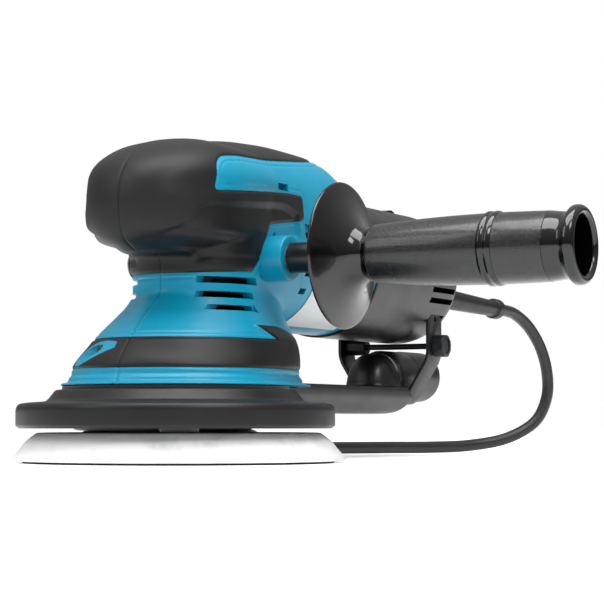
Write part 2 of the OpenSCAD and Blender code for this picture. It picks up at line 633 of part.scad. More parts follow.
module speed_dial() color(charcoal) along_y(dial_x, -3, dial_z) difference() {
    linear_extrude(6) difference() {
        circle(dial_r);
        for (i = [0:23]) rotate(i * 15) translate([dial_r - 0.6, -0.5]) square([2, 1]);
    }
    translate([0, 0, -1]) rod(1.5 + fit, 8);
}
module cord_clamp() color(charcoal) translate([rear_back + 6, guard_y - 9, guard_z - 9]) difference() {
    cube([8, 14, 7]);
    translate([-1, 9, 9]) rotate([0, 90, 0]) rod(cord_d / 2 + 0.2, 12);
}

// ---- Dust nozzle and its strap ----
nozzle_front = -foot_r - 9.7 - 2 * gap;
nozzle_back = rear_back + 29;
outlet_z = motor_z - rear_r - 4 - outlet_d / 2;
outlet_x = rear_back - 17;
hump_z = outlet_z + 12;
duct_r = duct_w / 2;
module duct_side(t) offset(delta = -t) polygon([[nozzle_front - 0.01 + 3 * t, duct_z],
    [nozzle_front - 0.01 + 3 * t, duct_top], [motor_back, duct_top], [motor_back - 14, hump_z - 8],
    [motor_back - 24, hump_z - 1.6], [motor_back - 34, hump_z], [nozzle_back + 16, hump_z],
    [nozzle_back + 7, hump_z - 3], [nozzle_back, hump_z - 11], [nozzle_back, duct_z + 8],
    [nozzle_back + 7, duct_z + 2], [nozzle_back + 16, duct_z]]);
module duct_end(t) offset(delta = -t) polygon([for (s = [1, -1]) for (p = s > 0 ?
    [[duct_r - 5, duct_z], [duct_r, duct_z + 7], [duct_r, duct_top - 2], [duct_r - 3, hump_z - 7],
        [duct_r - 9, hump_z]] : [[duct_r - 9, hump_z], [duct_r - 3, hump_z - 7], [duct_r, duct_top - 2],
        [duct_r, duct_z + 7], [duct_r - 5, duct_z]]) [s * p[0], p[1]]]);
module duct(t) intersection() {
    rotate([90, 0, 0]) linear_extrude(100, center = true) duct_side(t);
    along_x(-400, 0, 0) rotate([0, 0, 90]) linear_extrude(500) duct_end(t);
}
module dust_nozzle() color(black) difference() {
    union() {
        duct(0);
        along_x(outlet_x, 0, outlet_z) rod(outlet_d / 2 - 0.3, nozzle_back + 5 - outlet_x);
        along_x(outlet_x, 0, outlet_z) rod(outlet_d / 2, cuff_len);
    }
    duct(nozzle_t);
    along_x(outlet_x - 1, 0, outlet_z) rod(outlet_d / 2 - nozzle_t, nozzle_back + 12 - outlet_x);
}
arm_y = 26;
strap_t = 1.6;
pipe_low = outlet_z - outlet_d / 2;
module strap_side(t) polygon([[-arm_y - t, motor_z - 21], [-arm_y - t, outlet_z + 10],
    [-11 - t, pipe_low - 0.2 - t], [11 + t, pipe_low - 0.2 - t], [arm_y + t, outlet_z + 10],
    [arm_y + t, motor_z - 21]]);
bolt_z = motor_z - rear_r - 1.9;
bolt_r = 1.6;
module nozzle_strap() color("#2A2B2E") difference() {
    along_x(strap_x - strap_w / 2, 0, 0) rotate([0, 0, 90]) linear_extrude(strap_w) difference() {
        strap_side(strap_t);
        strap_side(0);
        translate([-arm_y, motor_z - 24]) square([2 * arm_y, 10]);
    }
    along_y(strap_x, -50, bolt_z) rod(bolt_r + 0.1, 100);
    along_y(strap_x, -50, motor_z - 23) rod(1.5 + fit, 100);
}
module strap_bolt() color("#26272A") along_y(strap_x, -arm_y + 1, bolt_z) {
    rod(bolt_r, 2 * arm_y + strap_t + 0.2);
    translate([0, 0, 2 * arm_y + strap_t + 0.2]) cylinder(h = 7, r = 6.6, $fn = 8);
}
module strap_washer() color(steel) along_y(strap_x, arm_y + strap_t + 0.05, bolt_z)
    tube(5.4, bolt_r + 0.1, 1);
module strap_nut() color(steel) along_y(strap_x, -arm_y + 0.1, bolt_z) tube(4.5, bolt_r + 0.02, 12);

// ---- Side handle ----
guard_start = boss_y + 26;
handle_end = guard_start + handle_len;
bead_y = handle_end - 42;
grip_r = grip_d / 2;
module on_handle(y) along_y(handle_x, y, handle_z) children();
module handle_grip() color(black) on_handle(guard_start - 3) rotate_extrude($fn = 96) difference() {
    polygon([[0, 0], [8.6, 0], [10, 1.6], [20, 2], [guard_d / 2 - 1, 2], [guard_d / 2, 2.8],
        [guard_d / 2 - 0.3, 3.9], [guard_d / 2 - 7, 5.6], [guard_d / 2 - 14, 8.4], [13.4, 13], [11.6, 17.6],
        [12.6, 19], [grip_r - 2.4, 20.6], [grip_r - 1.4, 34], [grip_r - 0.3, bead_y - guard_start - 18],
        [grip_r, bead_y - guard_start + 1], [grip_r + 0.7, bead_y - guard_start + 2.4],
        [grip_r + 0.1, bead_y - guard_start + 4], [grip_r + 0.7, bead_y - guard_start + 5.6],
        [grip_r, bead_y - guard_start + 7], [grip_r - 0.4, handle_len - 14], [grip_r - 1.4, handle_len - 6],
        [grip_r - 0.6, handle_len - 4], [grip_r + 1.6, handle_len - 1.6], [grip_r + 1.6, handle_len + 1],
        [grip_r - 0.4, handle_len + 3], [0, handle_len + 3]]);
    translate([0, handle_len - 42]) square([grip_r - 2.8, 60]);
    translate([0, -1]) square([stud_d / 2 + fit, 40]);
}
module handle_stud() color(steel) on_handle(boss_y - 14) rod(stud_d / 2, guard_start - boss_y + 40);
module handle_collar() color(black) on_handle(boss_y + 0.05) tube(7, stud_d / 2 + fit,
    guard_start - 3.1 - boss_y);

// ---- Cord ----
guard_end = [-330, 20, 86];
guard_in = rear_back + 2;
cord_r = cord_d / 2;
coil = [-112, -76];
coil_r = coil_d / 2;
layers = 4;
coil_h = layers * cord_d + 0.4;
coil_out = coil_r + 1.5 * cord_d + 0.6;
// The free stretch from the cord guard to the coil's first turn
route = [guard_end, [-340, 20.8, 85.8], [-352, 22.4, 84], [-366, 25.4, 77], [-377.6, 28.6, 65],
    [-383.6, 30.6, 50], [-384.6, 30, 34], [-379.6, 24, 19], [-368, 10, 9], [-352, -8, 4.6], [-332, -25, 3.6],
    [-308, -41, 3.6], [-283, -56, 3.6], [-258, -69.5, 3.6], [-232, -83, 3.6], [-206, -96.6, 3.6],
    [-181, -107, 3.6], [-158, -115, 3.6], [-136, -120, 3.6], [-114, -123, 3.6]];
// The tail from the coil's last turn to the plug
tail = [[-159, -78, 24.6], [-160, -89, 24.2], [-163, -101, 22], [-169, -114, 18.8], [-178, -125, 16.6],
    [-189, -132, 16], [-200, -137, 16]];
function unit(v) = v / norm(v);
function heading(p, i) = unit(p[min(i + 1, len(p) - 1)] - p[max(i - 1, 0)]);
function across(d) = unit(cross(abs(d[2]) > 0.99 ? [0, 1, 0] : [0, 0, 1], d));
module hose(p, r, sides = 8) skin([for (i = [0:len(p) - 1]) let (d = heading(p, i), u = across(d), w =
    cross(d, u))
    [for (k = [0:sides - 1]) p[i] + r * (cos(360 * k / sides) * u + sin(360 * k / sides) * w)]]);
guard_dir = unit(guard_end - [guard_in, guard_y, guard_z]);
guard_len = norm(guard_end - [guard_in, guard_y, guard_z]);
module cord_guard() color(black) translate([guard_in, guard_y, guard_z])
    rotate([0, 0, atan2(guard_dir[1], guard_dir[0])]) rotate([0, acos(guard_dir[2]), 0]) {
        rod(cord_r + 2.5, guard_len - 4, cord_r + 1.7);
        translate([0, 0, guard_len - 5]) rod(cord_r + 2.7, 4.9);
    }
module cord() color(black) {
    hose(route, cord_r);
    hose(tail, cord_r);
}
module cord_coil() color(black) translate([coil[0], coil[1], 0]) rotate_extrude() difference() {
    translate([coil_r * 2 - coil_out, 0]) square([2 * (coil_out - coil_r), coil_h]);
    for (s = [0, 1]) translate([s > 0 ? coil_out : 2 * coil_r - coil_out, coil_h]) rotate(45)
        square(3, center = true);
}
plug_r = 16;
module plug() translate(tail[len(tail) - 1]) rotate([0, 0, atan2(-5, -11)]) rotate([0, 90, 0]) {
    color(black) {
        rod(5, 14, 6.4);
        translate([0, 0, 13.9]) rod(12, 9, plug_r - 0.4);
        translate([0, 0, 22.8]) rod(plug_r - 0.4, 18);
    }
    color(steel) for (y = [-9.5, 9.5]) translate([0, y, 40.7]) rod(2.4, 19);
}

hook_facing();
backing_pad();
pad_plate();
pad_gear();
pad_bolt();
pad_bearing();
eccentric_carrier();
spindle();
bevel_gear();
spindle_nut();
ring_gear();
base_plate();
lower_bearing();
upper_bearing();
gear_case();
skirt();
body_left();
body_right();
head_grip_left();
head_grip_right();
base_band_left();
base_band_right();
body_screws();
motor_housing();
rear_housing();
rear_screws();
rating_plate();
armature_shaft();
bevel_pinion();
armature_core();
commutator();
cooling_fan();
front_bearing();
rear_bearing();
stator();
field_coils();
brush_holders();
carbon_brushes();
brush_springs();
switch_body();
switch_slider();
speed_controller();
speed_dial();
cord_clamp();
dust_nozzle();
nozzle_strap();
strap_bolt();
strap_washer();
strap_nut();
handle_grip();
handle_stud();
handle_collar();
cord_guard();
cord();
cord_coil();
plug();
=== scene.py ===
# %% [markdown]
# # A dual action polisher, finished piece by piece
#
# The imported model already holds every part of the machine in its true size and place: gears,
# bearings, motor, housings and cord. This lesson dresses it. Each step says what the piece is on
# the real machine, how it could be made in Blender, and why this way was chosen.
#
# Lengths are written in millimetres, as a drawing gives them, and become metres when a mesh is
# made. X points to the nose, Y to the side handle, Z up. The origin is on the spindle's axis, at
# the working face of the pad.

# %% Load the fixed frame
import bpy
import numpy as np
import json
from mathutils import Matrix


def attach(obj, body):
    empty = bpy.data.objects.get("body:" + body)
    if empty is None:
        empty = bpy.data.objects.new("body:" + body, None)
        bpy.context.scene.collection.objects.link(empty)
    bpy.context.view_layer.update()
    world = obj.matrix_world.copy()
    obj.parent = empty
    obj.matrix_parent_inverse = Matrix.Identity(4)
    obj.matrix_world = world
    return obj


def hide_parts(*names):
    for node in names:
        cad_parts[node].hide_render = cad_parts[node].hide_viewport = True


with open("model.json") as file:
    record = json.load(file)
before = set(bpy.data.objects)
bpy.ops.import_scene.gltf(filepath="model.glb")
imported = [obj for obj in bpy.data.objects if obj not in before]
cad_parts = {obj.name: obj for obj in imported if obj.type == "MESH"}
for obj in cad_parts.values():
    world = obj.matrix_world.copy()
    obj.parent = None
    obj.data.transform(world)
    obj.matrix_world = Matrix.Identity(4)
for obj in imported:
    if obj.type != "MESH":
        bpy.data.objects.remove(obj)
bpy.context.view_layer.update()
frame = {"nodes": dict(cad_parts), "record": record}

# %% [markdown]
# ## Camera
# A camera close to the floor, ahead of the machine and on its left, looks slightly up at it. The
# lens is long, as for a catalogue, so the pad stays a flat oval and the handle doesn't bulge.
# Aiming with a direction, rather than with three angles, keeps the numbers readable.

# %% Place the camera
MM = 0.001


def level_turn(direction, degrees):
    """The level direction (cos a, sin a), turned by some degrees about Z."""
    angle = np.arctan2(direction[1], direction[0]) + np.radians(degrees)
    return np.array([np.cos(angle), np.sin(angle), 0.0])


def aim(thing, toward):
    """Points an object's own -Z along a direction, with its Y as near up as it can be."""
    from mathutils import Vector
    thing.rotation_mode = "QUATERNION"
    thing.rotation_quaternion = Vector(toward).to_track_quat("-Z", "Y")


camera_spot = np.array([751.4, 469.5, 17.0]) * MM
toward_spindle = -camera_spot / np.linalg.norm(camera_spot[:2])
pan, tilt = -3.69, 3.61
look = level_turn(toward_spindle, pan) * np.cos(np.radians(tilt))
look[2] = np.sin(np.radians(tilt))
camera_data = bpy.data.cameras.new("catalogue_camera")
camera_data.sensor_width = 36.0
camera_data.lens = 116.2
camera_data.clip_start, camera_data.clip_end = 0.01, 50.0
camera = bpy.data.objects.new("catalogue_camera", camera_data)
bpy.context.scene.collection.objects.link(camera)
camera.location = camera_spot
aim(camera, look)
bpy.context.scene.camera = camera
print("camera looks along", np.round(look, 3))

# %% [markdown]
# ## Making a mesh from arrays
# Almost every new surface here is a grid: one parameter runs round a ring, the other runs from
# ring to ring. The whole grid is worked out as one array, and its faces follow from counting.
# A helper checks which way the faces point, by the sign of the enclosed volume, so that every
# closed piece ends with its outside outside.

# %% Helpers for grids, rings and lathed shapes
def ring_faces(rings, sides, loop=False):
    """Quads between neighbouring rings of points; loop joins the last ring to the first."""
    r = np.arange(rings if loop else rings - 1)[:, None]
    c = np.arange(sides)[None, :]
    near, far, turn = r * sides, (r + 1) % rings * sides, (c + 1) % sides
    return np.stack([near + c, far + c, far + turn, near + turn], -1).reshape(-1, 4)


def volume(points, faces):
    """Six times the signed volume: the sum of a . (b x c) over each quad's two triangles."""
    a, b, c, d = (points[faces[:, i]] for i in (0, 1, 2, 3))
    return np.einsum("ij,ij->i", a, np.cross(b, c)).sum() + np.einsum("ij,ij->i", a, np.cross(c, d)).sum()


def new_piece(name, points, faces, smooth=True):
    """A mesh object at the origin from points in millimetres and faces of any corner count."""
    mesh = bpy.data.meshes.new(name)
    mesh.from_pydata((np.asarray(points) * MM).tolist(), [], [list(map(int, f)) for f in faces])
    mesh.validate()
    mesh.polygons.foreach_set("use_smooth", np.full(len(mesh.polygons), smooth))
    piece = bpy.data.objects.new(name, mesh)
    bpy.context.scene.collection.objects.link(piece)
    return piece


def skin(name, rings):
    """A closed skin over rings of points, an array of ring, place on the ring, and x y z.
    Both ends are closed with a fan about the middle of the ring."""
    count, sides = rings.shape[:2]
    points = np.concatenate([rings.reshape(-1, 3), [rings[0].mean(0), rings[-1].mean(0)]])
    quads = ring_faces(count, sides)
    c = np.arange(sides)
    turn = (c + 1) % sides
    first, last = count * sides, count * sides + 1
    low = np.stack([np.full(sides, first), c, turn, turn], -1)
    high = np.stack([np.full(sides, last), (count - 1) * sides + turn, (count - 1) * sides + c,
                     (count - 1) * sides + c], -1)
    every = np.concatenate([quads, low, high])
    if volume(points, every) < 0:
        every = every[:, ::-1]
        low, high = low[:, [2, 1, 0]], high[:, [2, 1, 0]]
        quads = quads[:, ::-1]
    else:
        low, high = low[:, :3], high[:, :3]
    return new_piece(name, points, [*quads, *low, *high])


def rounded(corners, radius, steps=5):
    """A closed outline with each corner P eased into (1-t)^2 A + 2t(1-t) P + t^2 B, where A and B
    lie a radius away from P along its two sides."""
    p = np.asarray(corners, float)
    back, ahead = np.roll(p, 1, 0) - p, np.roll(p, -1, 0) - p
    reach = np.broadcast_to(radius, len(p))
    a, b = (p + side * np.minimum(reach / np.linalg.norm(side, axis=1), 0.45)[:, None] for side in (back, ahead))
    t = np.linspace(0, 1, steps)[:, None, None]
    return ((1 - t) ** 2 * a + 2 * t * (1 - t) * p + t ** 2 * b).transpose(1, 0, 2).reshape(-1, 2)


AXES = {"x": [[0, 1, 0], [0, 0, 1], [1, 0, 0]], "y": [[0, 0, 1], [1, 0, 0], [0, 1, 0]],
        "z": [[1, 0, 0], [0, 1, 0], [0, 0, 1]]}


def lathe(name, profile, axis="z", at=(0, 0, 0), sides=144, basis=None):
    """Turns a closed profile of (radius, height) about an axis: each point becomes
    at + r cos(a) u + r sin(a) v + h w, where w is the axis and u, v lie across it."""
    u, v, w = np.array(basis if basis is not None else AXES[axis], float)
    p = np.asarray(profile, float)
    a = np.linspace(0, 2 * np.pi, sides, endpoint=False)[None, :, None]
    r, h = np.maximum(p[:, 0], 0)[:, None, None], p[:, 1][:, None, None]
    points = (np.array(at, float) + r * np.cos(a) * u + r * np.sin(a) * v + h * w).reshape(-1, 3)
    faces = ring_faces(len(p), sides, loop=True)
    if volume(points, faces) < 0:
        faces = faces[:, ::-1]
    piece = new_piece(name, points, faces)
    weld(piece)
    return piece


def weld(piece, distance=2e-6):
    """Joins points that lie on each other, as at the pole of a lathed piece."""
    import bmesh
    work = bmesh.new()
    work.from_mesh(piece.data)
    bmesh.ops.remove_doubles(work, verts=work.verts, dist=distance)
    bmesh.ops.dissolve_degenerate(work, edges=work.edges, dist=distance / 2)
    work.to_mesh(piece.data)
    work.free()


def settle(piece):
    """Applies every modifier of a piece, so that its mesh is what is seen."""
    shown = piece.evaluated_get(bpy.context.evaluated_depsgraph_get())
    made = bpy.data.meshes.new_from_object(shown)
    old = piece.data
    piece.modifiers.clear()
    piece.data = made
    bpy.data.meshes.remove(old)
    return piece


def cut(piece, tools, how="DIFFERENCE", keep=False):
    """Cuts, joins or trims a piece with others, which are then thrown away unless kept."""
    tools = tools if isinstance(tools, (list, tuple)) else [tools]
    for tool in tools:
        step = piece.modifiers.new("cut", "BOOLEAN")
        step.operation, step.solver, step.object = how, "MANIFOLD", tool
        settle(piece)
    if not keep:
        for tool in tools:
            bpy.data.objects.remove(tool)
    return piece


def copy_of(piece, name):
    """A second object with its own copy of the mesh."""
    twin = bpy.data.objects.new(name, piece.data.copy())
    bpy.context.scene.collection.objects.link(twin)
    return twin


def soften_edges(piece, angle=35.0):
    """Smooth shading that stays crisp where two faces meet at more than the angle."""
    piece.data.shade_smooth()
    piece.data.set_sharp_from_angle(angle=np.radians(angle))
    return piece


def prism(name, outline, low, high, axis="y"):
    """A closed outline of (x, z) pushed along Y, of (x, y) along Z, or of (y, z) along X."""
    o = np.asarray(outline, float)
    order = {"y": [0, 2, 1], "z": [0, 1, 2], "x": [2, 0, 1]}[axis]
    flat = np.stack([np.concatenate([o, np.full((len(o), 1), level)], 1) for level in (low, high)])
    return soften_edges(skin_flat(name, flat[:, :, order]))


def skin_flat(name, rings):
    """A closed skin whose two ends are single flat faces, for outlines that aren't round."""
    count, sides = rings.shape[:2]
    points = rings.reshape(-1, 3)
    quads = ring_faces(count, sides)
    ends = [np.arange(sides), np.arange(sides)[::-1] + (count - 1) * sides]
    piece = new_piece(name, points, [*quads, *ends], smooth=False)
    import bmesh
    work = bmesh.new()
    work.from_mesh(piece.data)
    bmesh.ops.recalc_face_normals(work, faces=work.faces)
    work.to_mesh(piece.data)
    work.free()
    return piece


print("helpers ready")

# %% [markdown]
# ## Finishes
# Moulded plastic is never one flat colour. Its tool was spark-eroded, which leaves a grain of
# about a third of a millimetre; flow and handling change its gloss a little from place to place.
# One function makes such a finish from a colour, a gloss and a grain, with noise on Object
# coordinates, so the pattern stays on its piece in every view and pose.

# %% A function for moulded and cast finishes
def srgb(code):
    """A hex colour as the linear numbers that shaders use."""
    c = np.array([int(code[i:i + 2], 16) for i in (1, 3, 5)]) / 255
    return (*np.where(c <= 0.04045, c / 12.92, ((c + 0.055) / 1.055) ** 2.4), 1.0)


def new_finish(name):
    """An empty node material with its shader, and the Object coordinates that patterns read."""
    made = bpy.data.materials.new(name)
    made.use_nodes = True
    tree = made.node_tree
    shader = tree.nodes["Principled BSDF"]
    place = tree.nodes.new("ShaderNodeTexCoord").outputs["Object"]
    return made, tree, shader, place


def noise(tree, place, scale, detail=3.0, rough=0.5):
    """A noise pattern with so many features to the metre."""
    node = tree.nodes.new("ShaderNodeTexNoise")
    node.inputs["Scale"].default_value = scale
    node.inputs["Detail"].default_value = detail
    node.inputs["Roughness"].default_value = rough
    tree.links.new(place, node.inputs["Vector"])
    return node.outputs["Fac"]


def ramp(tree, fac, stops):
    """A colour ramp from (place, colour) stops."""
    node = tree.nodes.new("ShaderNodeValToRGB")
    edge = node.color_ramp.elements
    edge[0].position, edge[0].color = stops[0]
    edge[1].position, edge[1].color = stops[-1]
    for spot, colour in stops[1:-1]:
        edge.new(spot).color = colour
    tree.links.new(fac, node.inputs["Fac"])
    return node.outputs["Color"]


def spread(tree, fac, low, high):
    """Maps the middle of a noise pattern onto a range of numbers."""
    node = tree.nodes.new("ShaderNodeMapRange")
    for socket, value in zip(("From Min", "From Max", "To Min", "To Max"), (0.3, 0.7, low, high)):
        node.inputs[socket].default_value = value
    tree.links.new(fac, node.inputs["Value"])
    return node.outputs["Result"]


def raise_grain(tree, shader, height, depth, strength=1.0, under=None):
    """Bump of a given depth in metres, on top of any coarser bump."""
    node = tree.nodes.new("ShaderNodeBump")
    node.inputs["Strength"].default_value = strength
    node.inputs["Distance"].default_value = depth
    tree.links.new(height, node.inputs["Height"])
    if under is not None:
        tree.links.new(under, node.inputs["Normal"])
    tree.links.new(node.outputs["Normal"], shader.inputs["Normal"])
    return node.outputs["Normal"]


def tint(colour, by):
    """A colour made lighter or darker by a share."""
    return (*[min(1.0, v * (1 + by)) for v in colour[:3]], 1.0)


def moulded(name, code, gloss, grain=2600, depth=2e-5, shift=0.08, metal=0.0, specular=0.5, coat=0.0, sheen=0.0):
    """A moulded, cast or turned finish: colour drifts by the share shift, roughness runs over the
    pair gloss, and a grain of so many bumps to the metre stands depth metres high."""
    made, tree, shader, place = new_finish(name)
    base = srgb(code)
    drift = noise(tree, place, 22, 4.0)
    tree.links.new(ramp(tree, drift, [(0.3, tint(base, -shift)), (0.7, tint(base, shift))]), shader.inputs["Base Color"])
    tree.links.new(spread(tree, noise(tree, place, 60, 5.0), *gloss), shader.inputs["Roughness"])
    raise_grain(tree, shader, noise(tree, place, grain, 2.0), depth)
    shader.inputs["Metallic"].default_value = metal
    shader.inputs["Specular IOR Level"].default_value = specular
    shader.inputs["Coat Weight"].default_value = coat
    shader.inputs["Coat Roughness"].default_value = 0.06
    shader.inputs["Sheen Weight"].default_value = sheen
    shader.inputs["Sheen Roughness"].default_value = 0.5
    return made


FINISH = {
    "blue_plastic": moulded("blue_moulding", "#0588A8", (0.32, 0.42), shift=0.05, specular=0.35),
    "grip_rubber": moulded("soft_grip", "#171718", (0.42, 0.52), grain=3000, depth=4e-5, shift=0.08, specular=0.28),
    "black_rubber": moulded("skirt_rubber", "#151516", (0.36, 0.48), grain=1800, depth=3e-5, shift=0.10, specular=0.32),
    "black_plastic": moulded("black_moulding", "#101011", (0.28, 0.40), grain=2200, depth=3e-5, shift=0.12, specular=0.45),
    "gloss_black": moulded("gloss_black", "#050506", (0.09, 0.15), grain=500, depth=5e-6, shift=0.10, coat=0.2),
    "bright_steel": moulded("turned_steel", "#A9ACB0", (0.22, 0.36), grain=1500, depth=4e-6, metal=1.0),
    "black_steel": moulded("blackened_steel", "#222326", (0.32, 0.46), grain=1400, depth=1.5e-5, metal=0.4),
    "cast_alloy": moulded("cast_alloy", "#A7AAAE", (0.42, 0.6), grain=1200, depth=6e-5, metal=0.9),
    "copper": moulded("copper_winding", "#B5652A", (0.25, 0.4), grain=900, depth=5e-5, metal=0.9),
    "carbon": moulded("carbon_block", "#2B2B2D", (0.5, 0.65), grain=2400, depth=4e-5),
    "circuit_board": moulded("potted_board", "#2F6B45", (0.4, 0.55), grain=800, depth=4e-5, shift=0.15),
    "plate_silver": moulded("silver_plate", "#D3D5D6", (0.34, 0.44), grain=1600, depth=6e-6, shift=0.04),
}
print("finishes:", ", ".join(FINISH))

# %% [markdown]
# ## White pad, hook facing and grained handle
# Three finishes need a pattern of their own. The pad is cast polyurethane foam with a closed skin,
# almost white, with faint grey scuffs. Its facing is a mat of tiny hooks, which reads as a dark
# fine pile. The handle is moulded in a tool that was etched to look like leather: small raised
# cells with fine creases between them, which Voronoi's distance to the edge draws well.

# %% Pad, hook pile and leather grain
def pad_foam():
    """White cast foam: soft scuffs in the colour, and shallow pores."""
    made, tree, shader, place = new_finish("pad_foam")
    scuffs = noise(tree, place, 45, 6.0, 0.65)
    tree.links.new(ramp(tree, scuffs, [(0.28, srgb("#D5D6D8")), (0.5, srgb("#F3F3F3")), (0.8, srgb("#F8F8F8"))]),
                   shader.inputs["Base Color"])
    tree.links.new(spread(tree, noise(tree, place, 90), 0.38, 0.52), shader.inputs["Roughness"])
    raise_grain(tree, shader, noise(tree, place, 1500, 3.0), 3e-5)
    return made


def hook_pile():
    """A dark mat of tiny hooks, in short tufts."""
    made, tree, shader, place = new_finish("hook_pile")
    tufts = noise(tree, place, 2800, 2.0)
    tree.links.new(ramp(tree, tufts, [(0.35, srgb("#0E0E10")), (0.7, srgb("#37383B"))]), shader.inputs["Base Color"])
    shader.inputs["Roughness"].default_value = 0.9
    raise_grain(tree, shader, tufts, 3e-4)
    return made


def leather_grain():
    """Black moulding with raised cells under a millimetre across and fine creases between them; the creases are painted
    darker as painted shade, and the cell middles a little lighter.
    """
    made, tree, shader, place = new_finish("grained_black")
    warp = tree.nodes.new("ShaderNodeTexNoise")
    warp.inputs["Scale"].default_value = 420
    tree.links.new(place, warp.inputs["Vector"])
    bend = tree.nodes.new("ShaderNodeVectorMath")
    bend.operation = "MULTIPLY_ADD"
    bend.inputs[1].default_value = (0.0007, 0.0007, 0.0007)
    tree.links.new(warp.outputs["Color"], bend.inputs[0])
    tree.links.new(place, bend.inputs[2])
    cells = tree.nodes.new("ShaderNodeTexVoronoi")
    cells.feature = "DISTANCE_TO_EDGE"
    cells.inputs["Scale"].default_value = 1000
    tree.links.new(bend.outputs["Vector"], cells.inputs["Vector"])
    crease = ramp(tree, cells.outputs["Distance"], [(0.0, (0, 0, 0, 1)), (0.16, (1, 1, 1, 1))])
    base = srgb("#0A0A0B")
    # Painted shade: the colour is darker in the creases and a little lighter in the middle of each cell.
    tree.links.new(ramp(tree, crease, [(0.0, tint(base, -0.4)), (1.0, tint(base, 0.15))]), shader.inputs["Base Color"])
    tree.links.new(spread(tree, noise(tree, place, 90), 0.20, 0.30), shader.inputs["Roughness"])
    cell_bump = raise_grain(tree, shader, crease, 6e-5, 0.6)
    raise_grain(tree, shader, noise(tree, place, 2600), 1.5e-5, 0.6, under=cell_bump)
    shader.inputs["Coat Weight"].default_value = 0.3
    shader.inputs["Coat Roughness"].default_value = 0.12
    return made


FINISH["pad_foam"] = pad_foam()
FINISH["hook_facing"] = hook_pile()
grained_black = leather_grain()
cord_rubber = moulded("cord_rubber", "#1B1B1D", (0.34, 0.46), grain=2000, depth=2e-5, shift=0.1)
print("made", len(bpy.data.materials), "materials")


def wear(piece, finish):
    """Gives a piece one finish on all its faces."""
    piece.data.materials.clear()
    piece.data.materials.append(finish)
    return piece


def mount_on(piece, body, slot, *nodes, finish=None):
    """Finishes a piece: its material, the body it rides on and the nodes that it stands for."""
    wear(piece, finish or FINISH[slot])
    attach(piece, body)
    if nodes:
        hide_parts(*nodes)
    print(piece.name, len(piece.data.polygons), "faces on", body)
    return piece


# %% [markdown]
# ## The cord
# A two-core rubber mains lead, 7 mm thick. It leaves a tapered guard at the rear, drops to the
# floor in one easy curve and runs along beside the machine to a neat coil, where the spare length
# is wound. A curve with a round bevel is the natural way: its own line is the cord's length. The
# free runs follow smooth curves through chosen points; the coil is a spiral worked out with numpy.

# %% The cord's line
GUARD_END = [-330, 20, 86]
FREE_RUN = np.array([GUARD_END, [-340, 20.8, 85.8], [-352, 22.4, 84], [-366, 25.4, 77], [-377, 28.6, 65],
                     [-382.8, 30.6, 50], [-383.8, 30, 34], [-379, 24, 19], [-368, 10, 9], [-352, -8, 4.6],
                     [-332, -25, 3.6], [-308, -41, 3.6], [-283, -56, 3.6], [-258, -69.5, 3.6], [-232, -83, 3.6],
                     [-206, -96.6, 3.6], [-181, -107, 3.6], [-158, -115, 3.6], [-136, -120, 3.6],
                     [-114, -123, 3.6]], float)
TAIL = np.array([[-159, -78, 24.6], [-160, -89, 24.2], [-163, -101, 22], [-169, -114, 18.8], [-178, -125, 16.6],
                 [-189, -132, 16], [-200, -137, 16]], float)
CORD_D = 7.0
COIL_AT = np.array([-112.0, -76.0])


def through(points, each=8):
    """A smooth curve through points, the Catmull-Rom blend of each four neighbours."""
    p = np.concatenate([[2 * points[0] - points[1]], points, [2 * points[-1] - points[-2]]])
    a, b, c, d = (p[i:len(p) - 3 + i][:, None] for i in range(4))
    t = np.linspace(0, 1, each, endpoint=False)[None, :, None]
    curve = 0.5 * (2 * b + (c - a) * t + (2 * a - 5 * b + 4 * c - d) * t ** 2 + (3 * b - a - 3 * c + d) * t ** 3)
    return np.concatenate([curve.reshape(-1, 3), points[-1:]])


def wound(turns, start, low, layers, inner, outer, each=48):
    """The wound length: the angle grows steadily, the radius sweeps between outer and inner once a
    layer, and the height climbs one diameter where the radius turns back."""
    s = np.linspace(0, 1, int(turns * each) + 1)
    angle = np.radians(start) + 2 * np.pi * turns * s
    layer = s * layers
    sweep = np.abs((layer % 2) - 1)
    eased = 0.5 - 0.5 * np.cos(np.pi * sweep)
    radius = inner + (outer - inner) * (0.35 * eased + 0.65 * sweep)
    whole = np.floor(layer)
    climb = np.clip((layer - whole - 0.84) / 0.16, 0, 1)
    z = low + CORD_D * np.minimum(whole + climb * climb * (3 - 2 * climb), layers - 1)
    return np.stack([COIL_AT[0] + radius * np.cos(angle), COIL_AT[1] + radius * np.sin(angle), z], -1)


coil_line = wound(7.75, -90, 3.6, 4, 33.0, 47.0)
cord_line = np.concatenate([through(FREE_RUN)[:-1], coil_line[:-1], through(TAIL)])
cord_data = bpy.data.curves.new("mains_cord", "CURVE")
cord_data.dimensions = "3D"
cord_data.bevel_depth = CORD_D / 2 * MM
cord_data.bevel_resolution = 5
cord_data.use_fill_caps = True
spline = cord_data.splines.new("POLY")
spline.points.add(len(cord_line) - 1)
spline.points.foreach_set("co", np.concatenate([cord_line * MM, np.ones((len(cord_line), 1))], 1).ravel())
mains_cord = bpy.data.objects.new("mains_cord", cord_data)
bpy.context.scene.collection.objects.link(mains_cord)
cord_data.materials.append(cord_rubber)
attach(mains_cord, "tool")
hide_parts("cord", "cord_coil")

# %% [markdown]
# ## The cord guard and the plug
# The guard is a smooth tapered rubber sleeve with a thicker ring at its end; it's a lathed profile
# along the line from the housing to the cord's first point. The plug is a round moulded body with a waist
# to hold and two steel pins. Both are turned profiles with eased corners, because real rubber
# mouldings have no sharp edges.

# %% Guard and plug
def basis_along(direction):
    """Three unit vectors, two across a direction and the direction itself."""
    w = np.array(direction, float) / np.linalg.norm(direction)
    u = np.cross([0, 0, 1], w)
    u /= np.linalg.norm(u)
    return np.array([u, np.cross(w, u), w])


GUARD_IN = np.array([-241.0, 17.0, 89.0])
guard_line = np.array(GUARD_END, float) - GUARD_IN
guard_length = np.linalg.norm(guard_line)


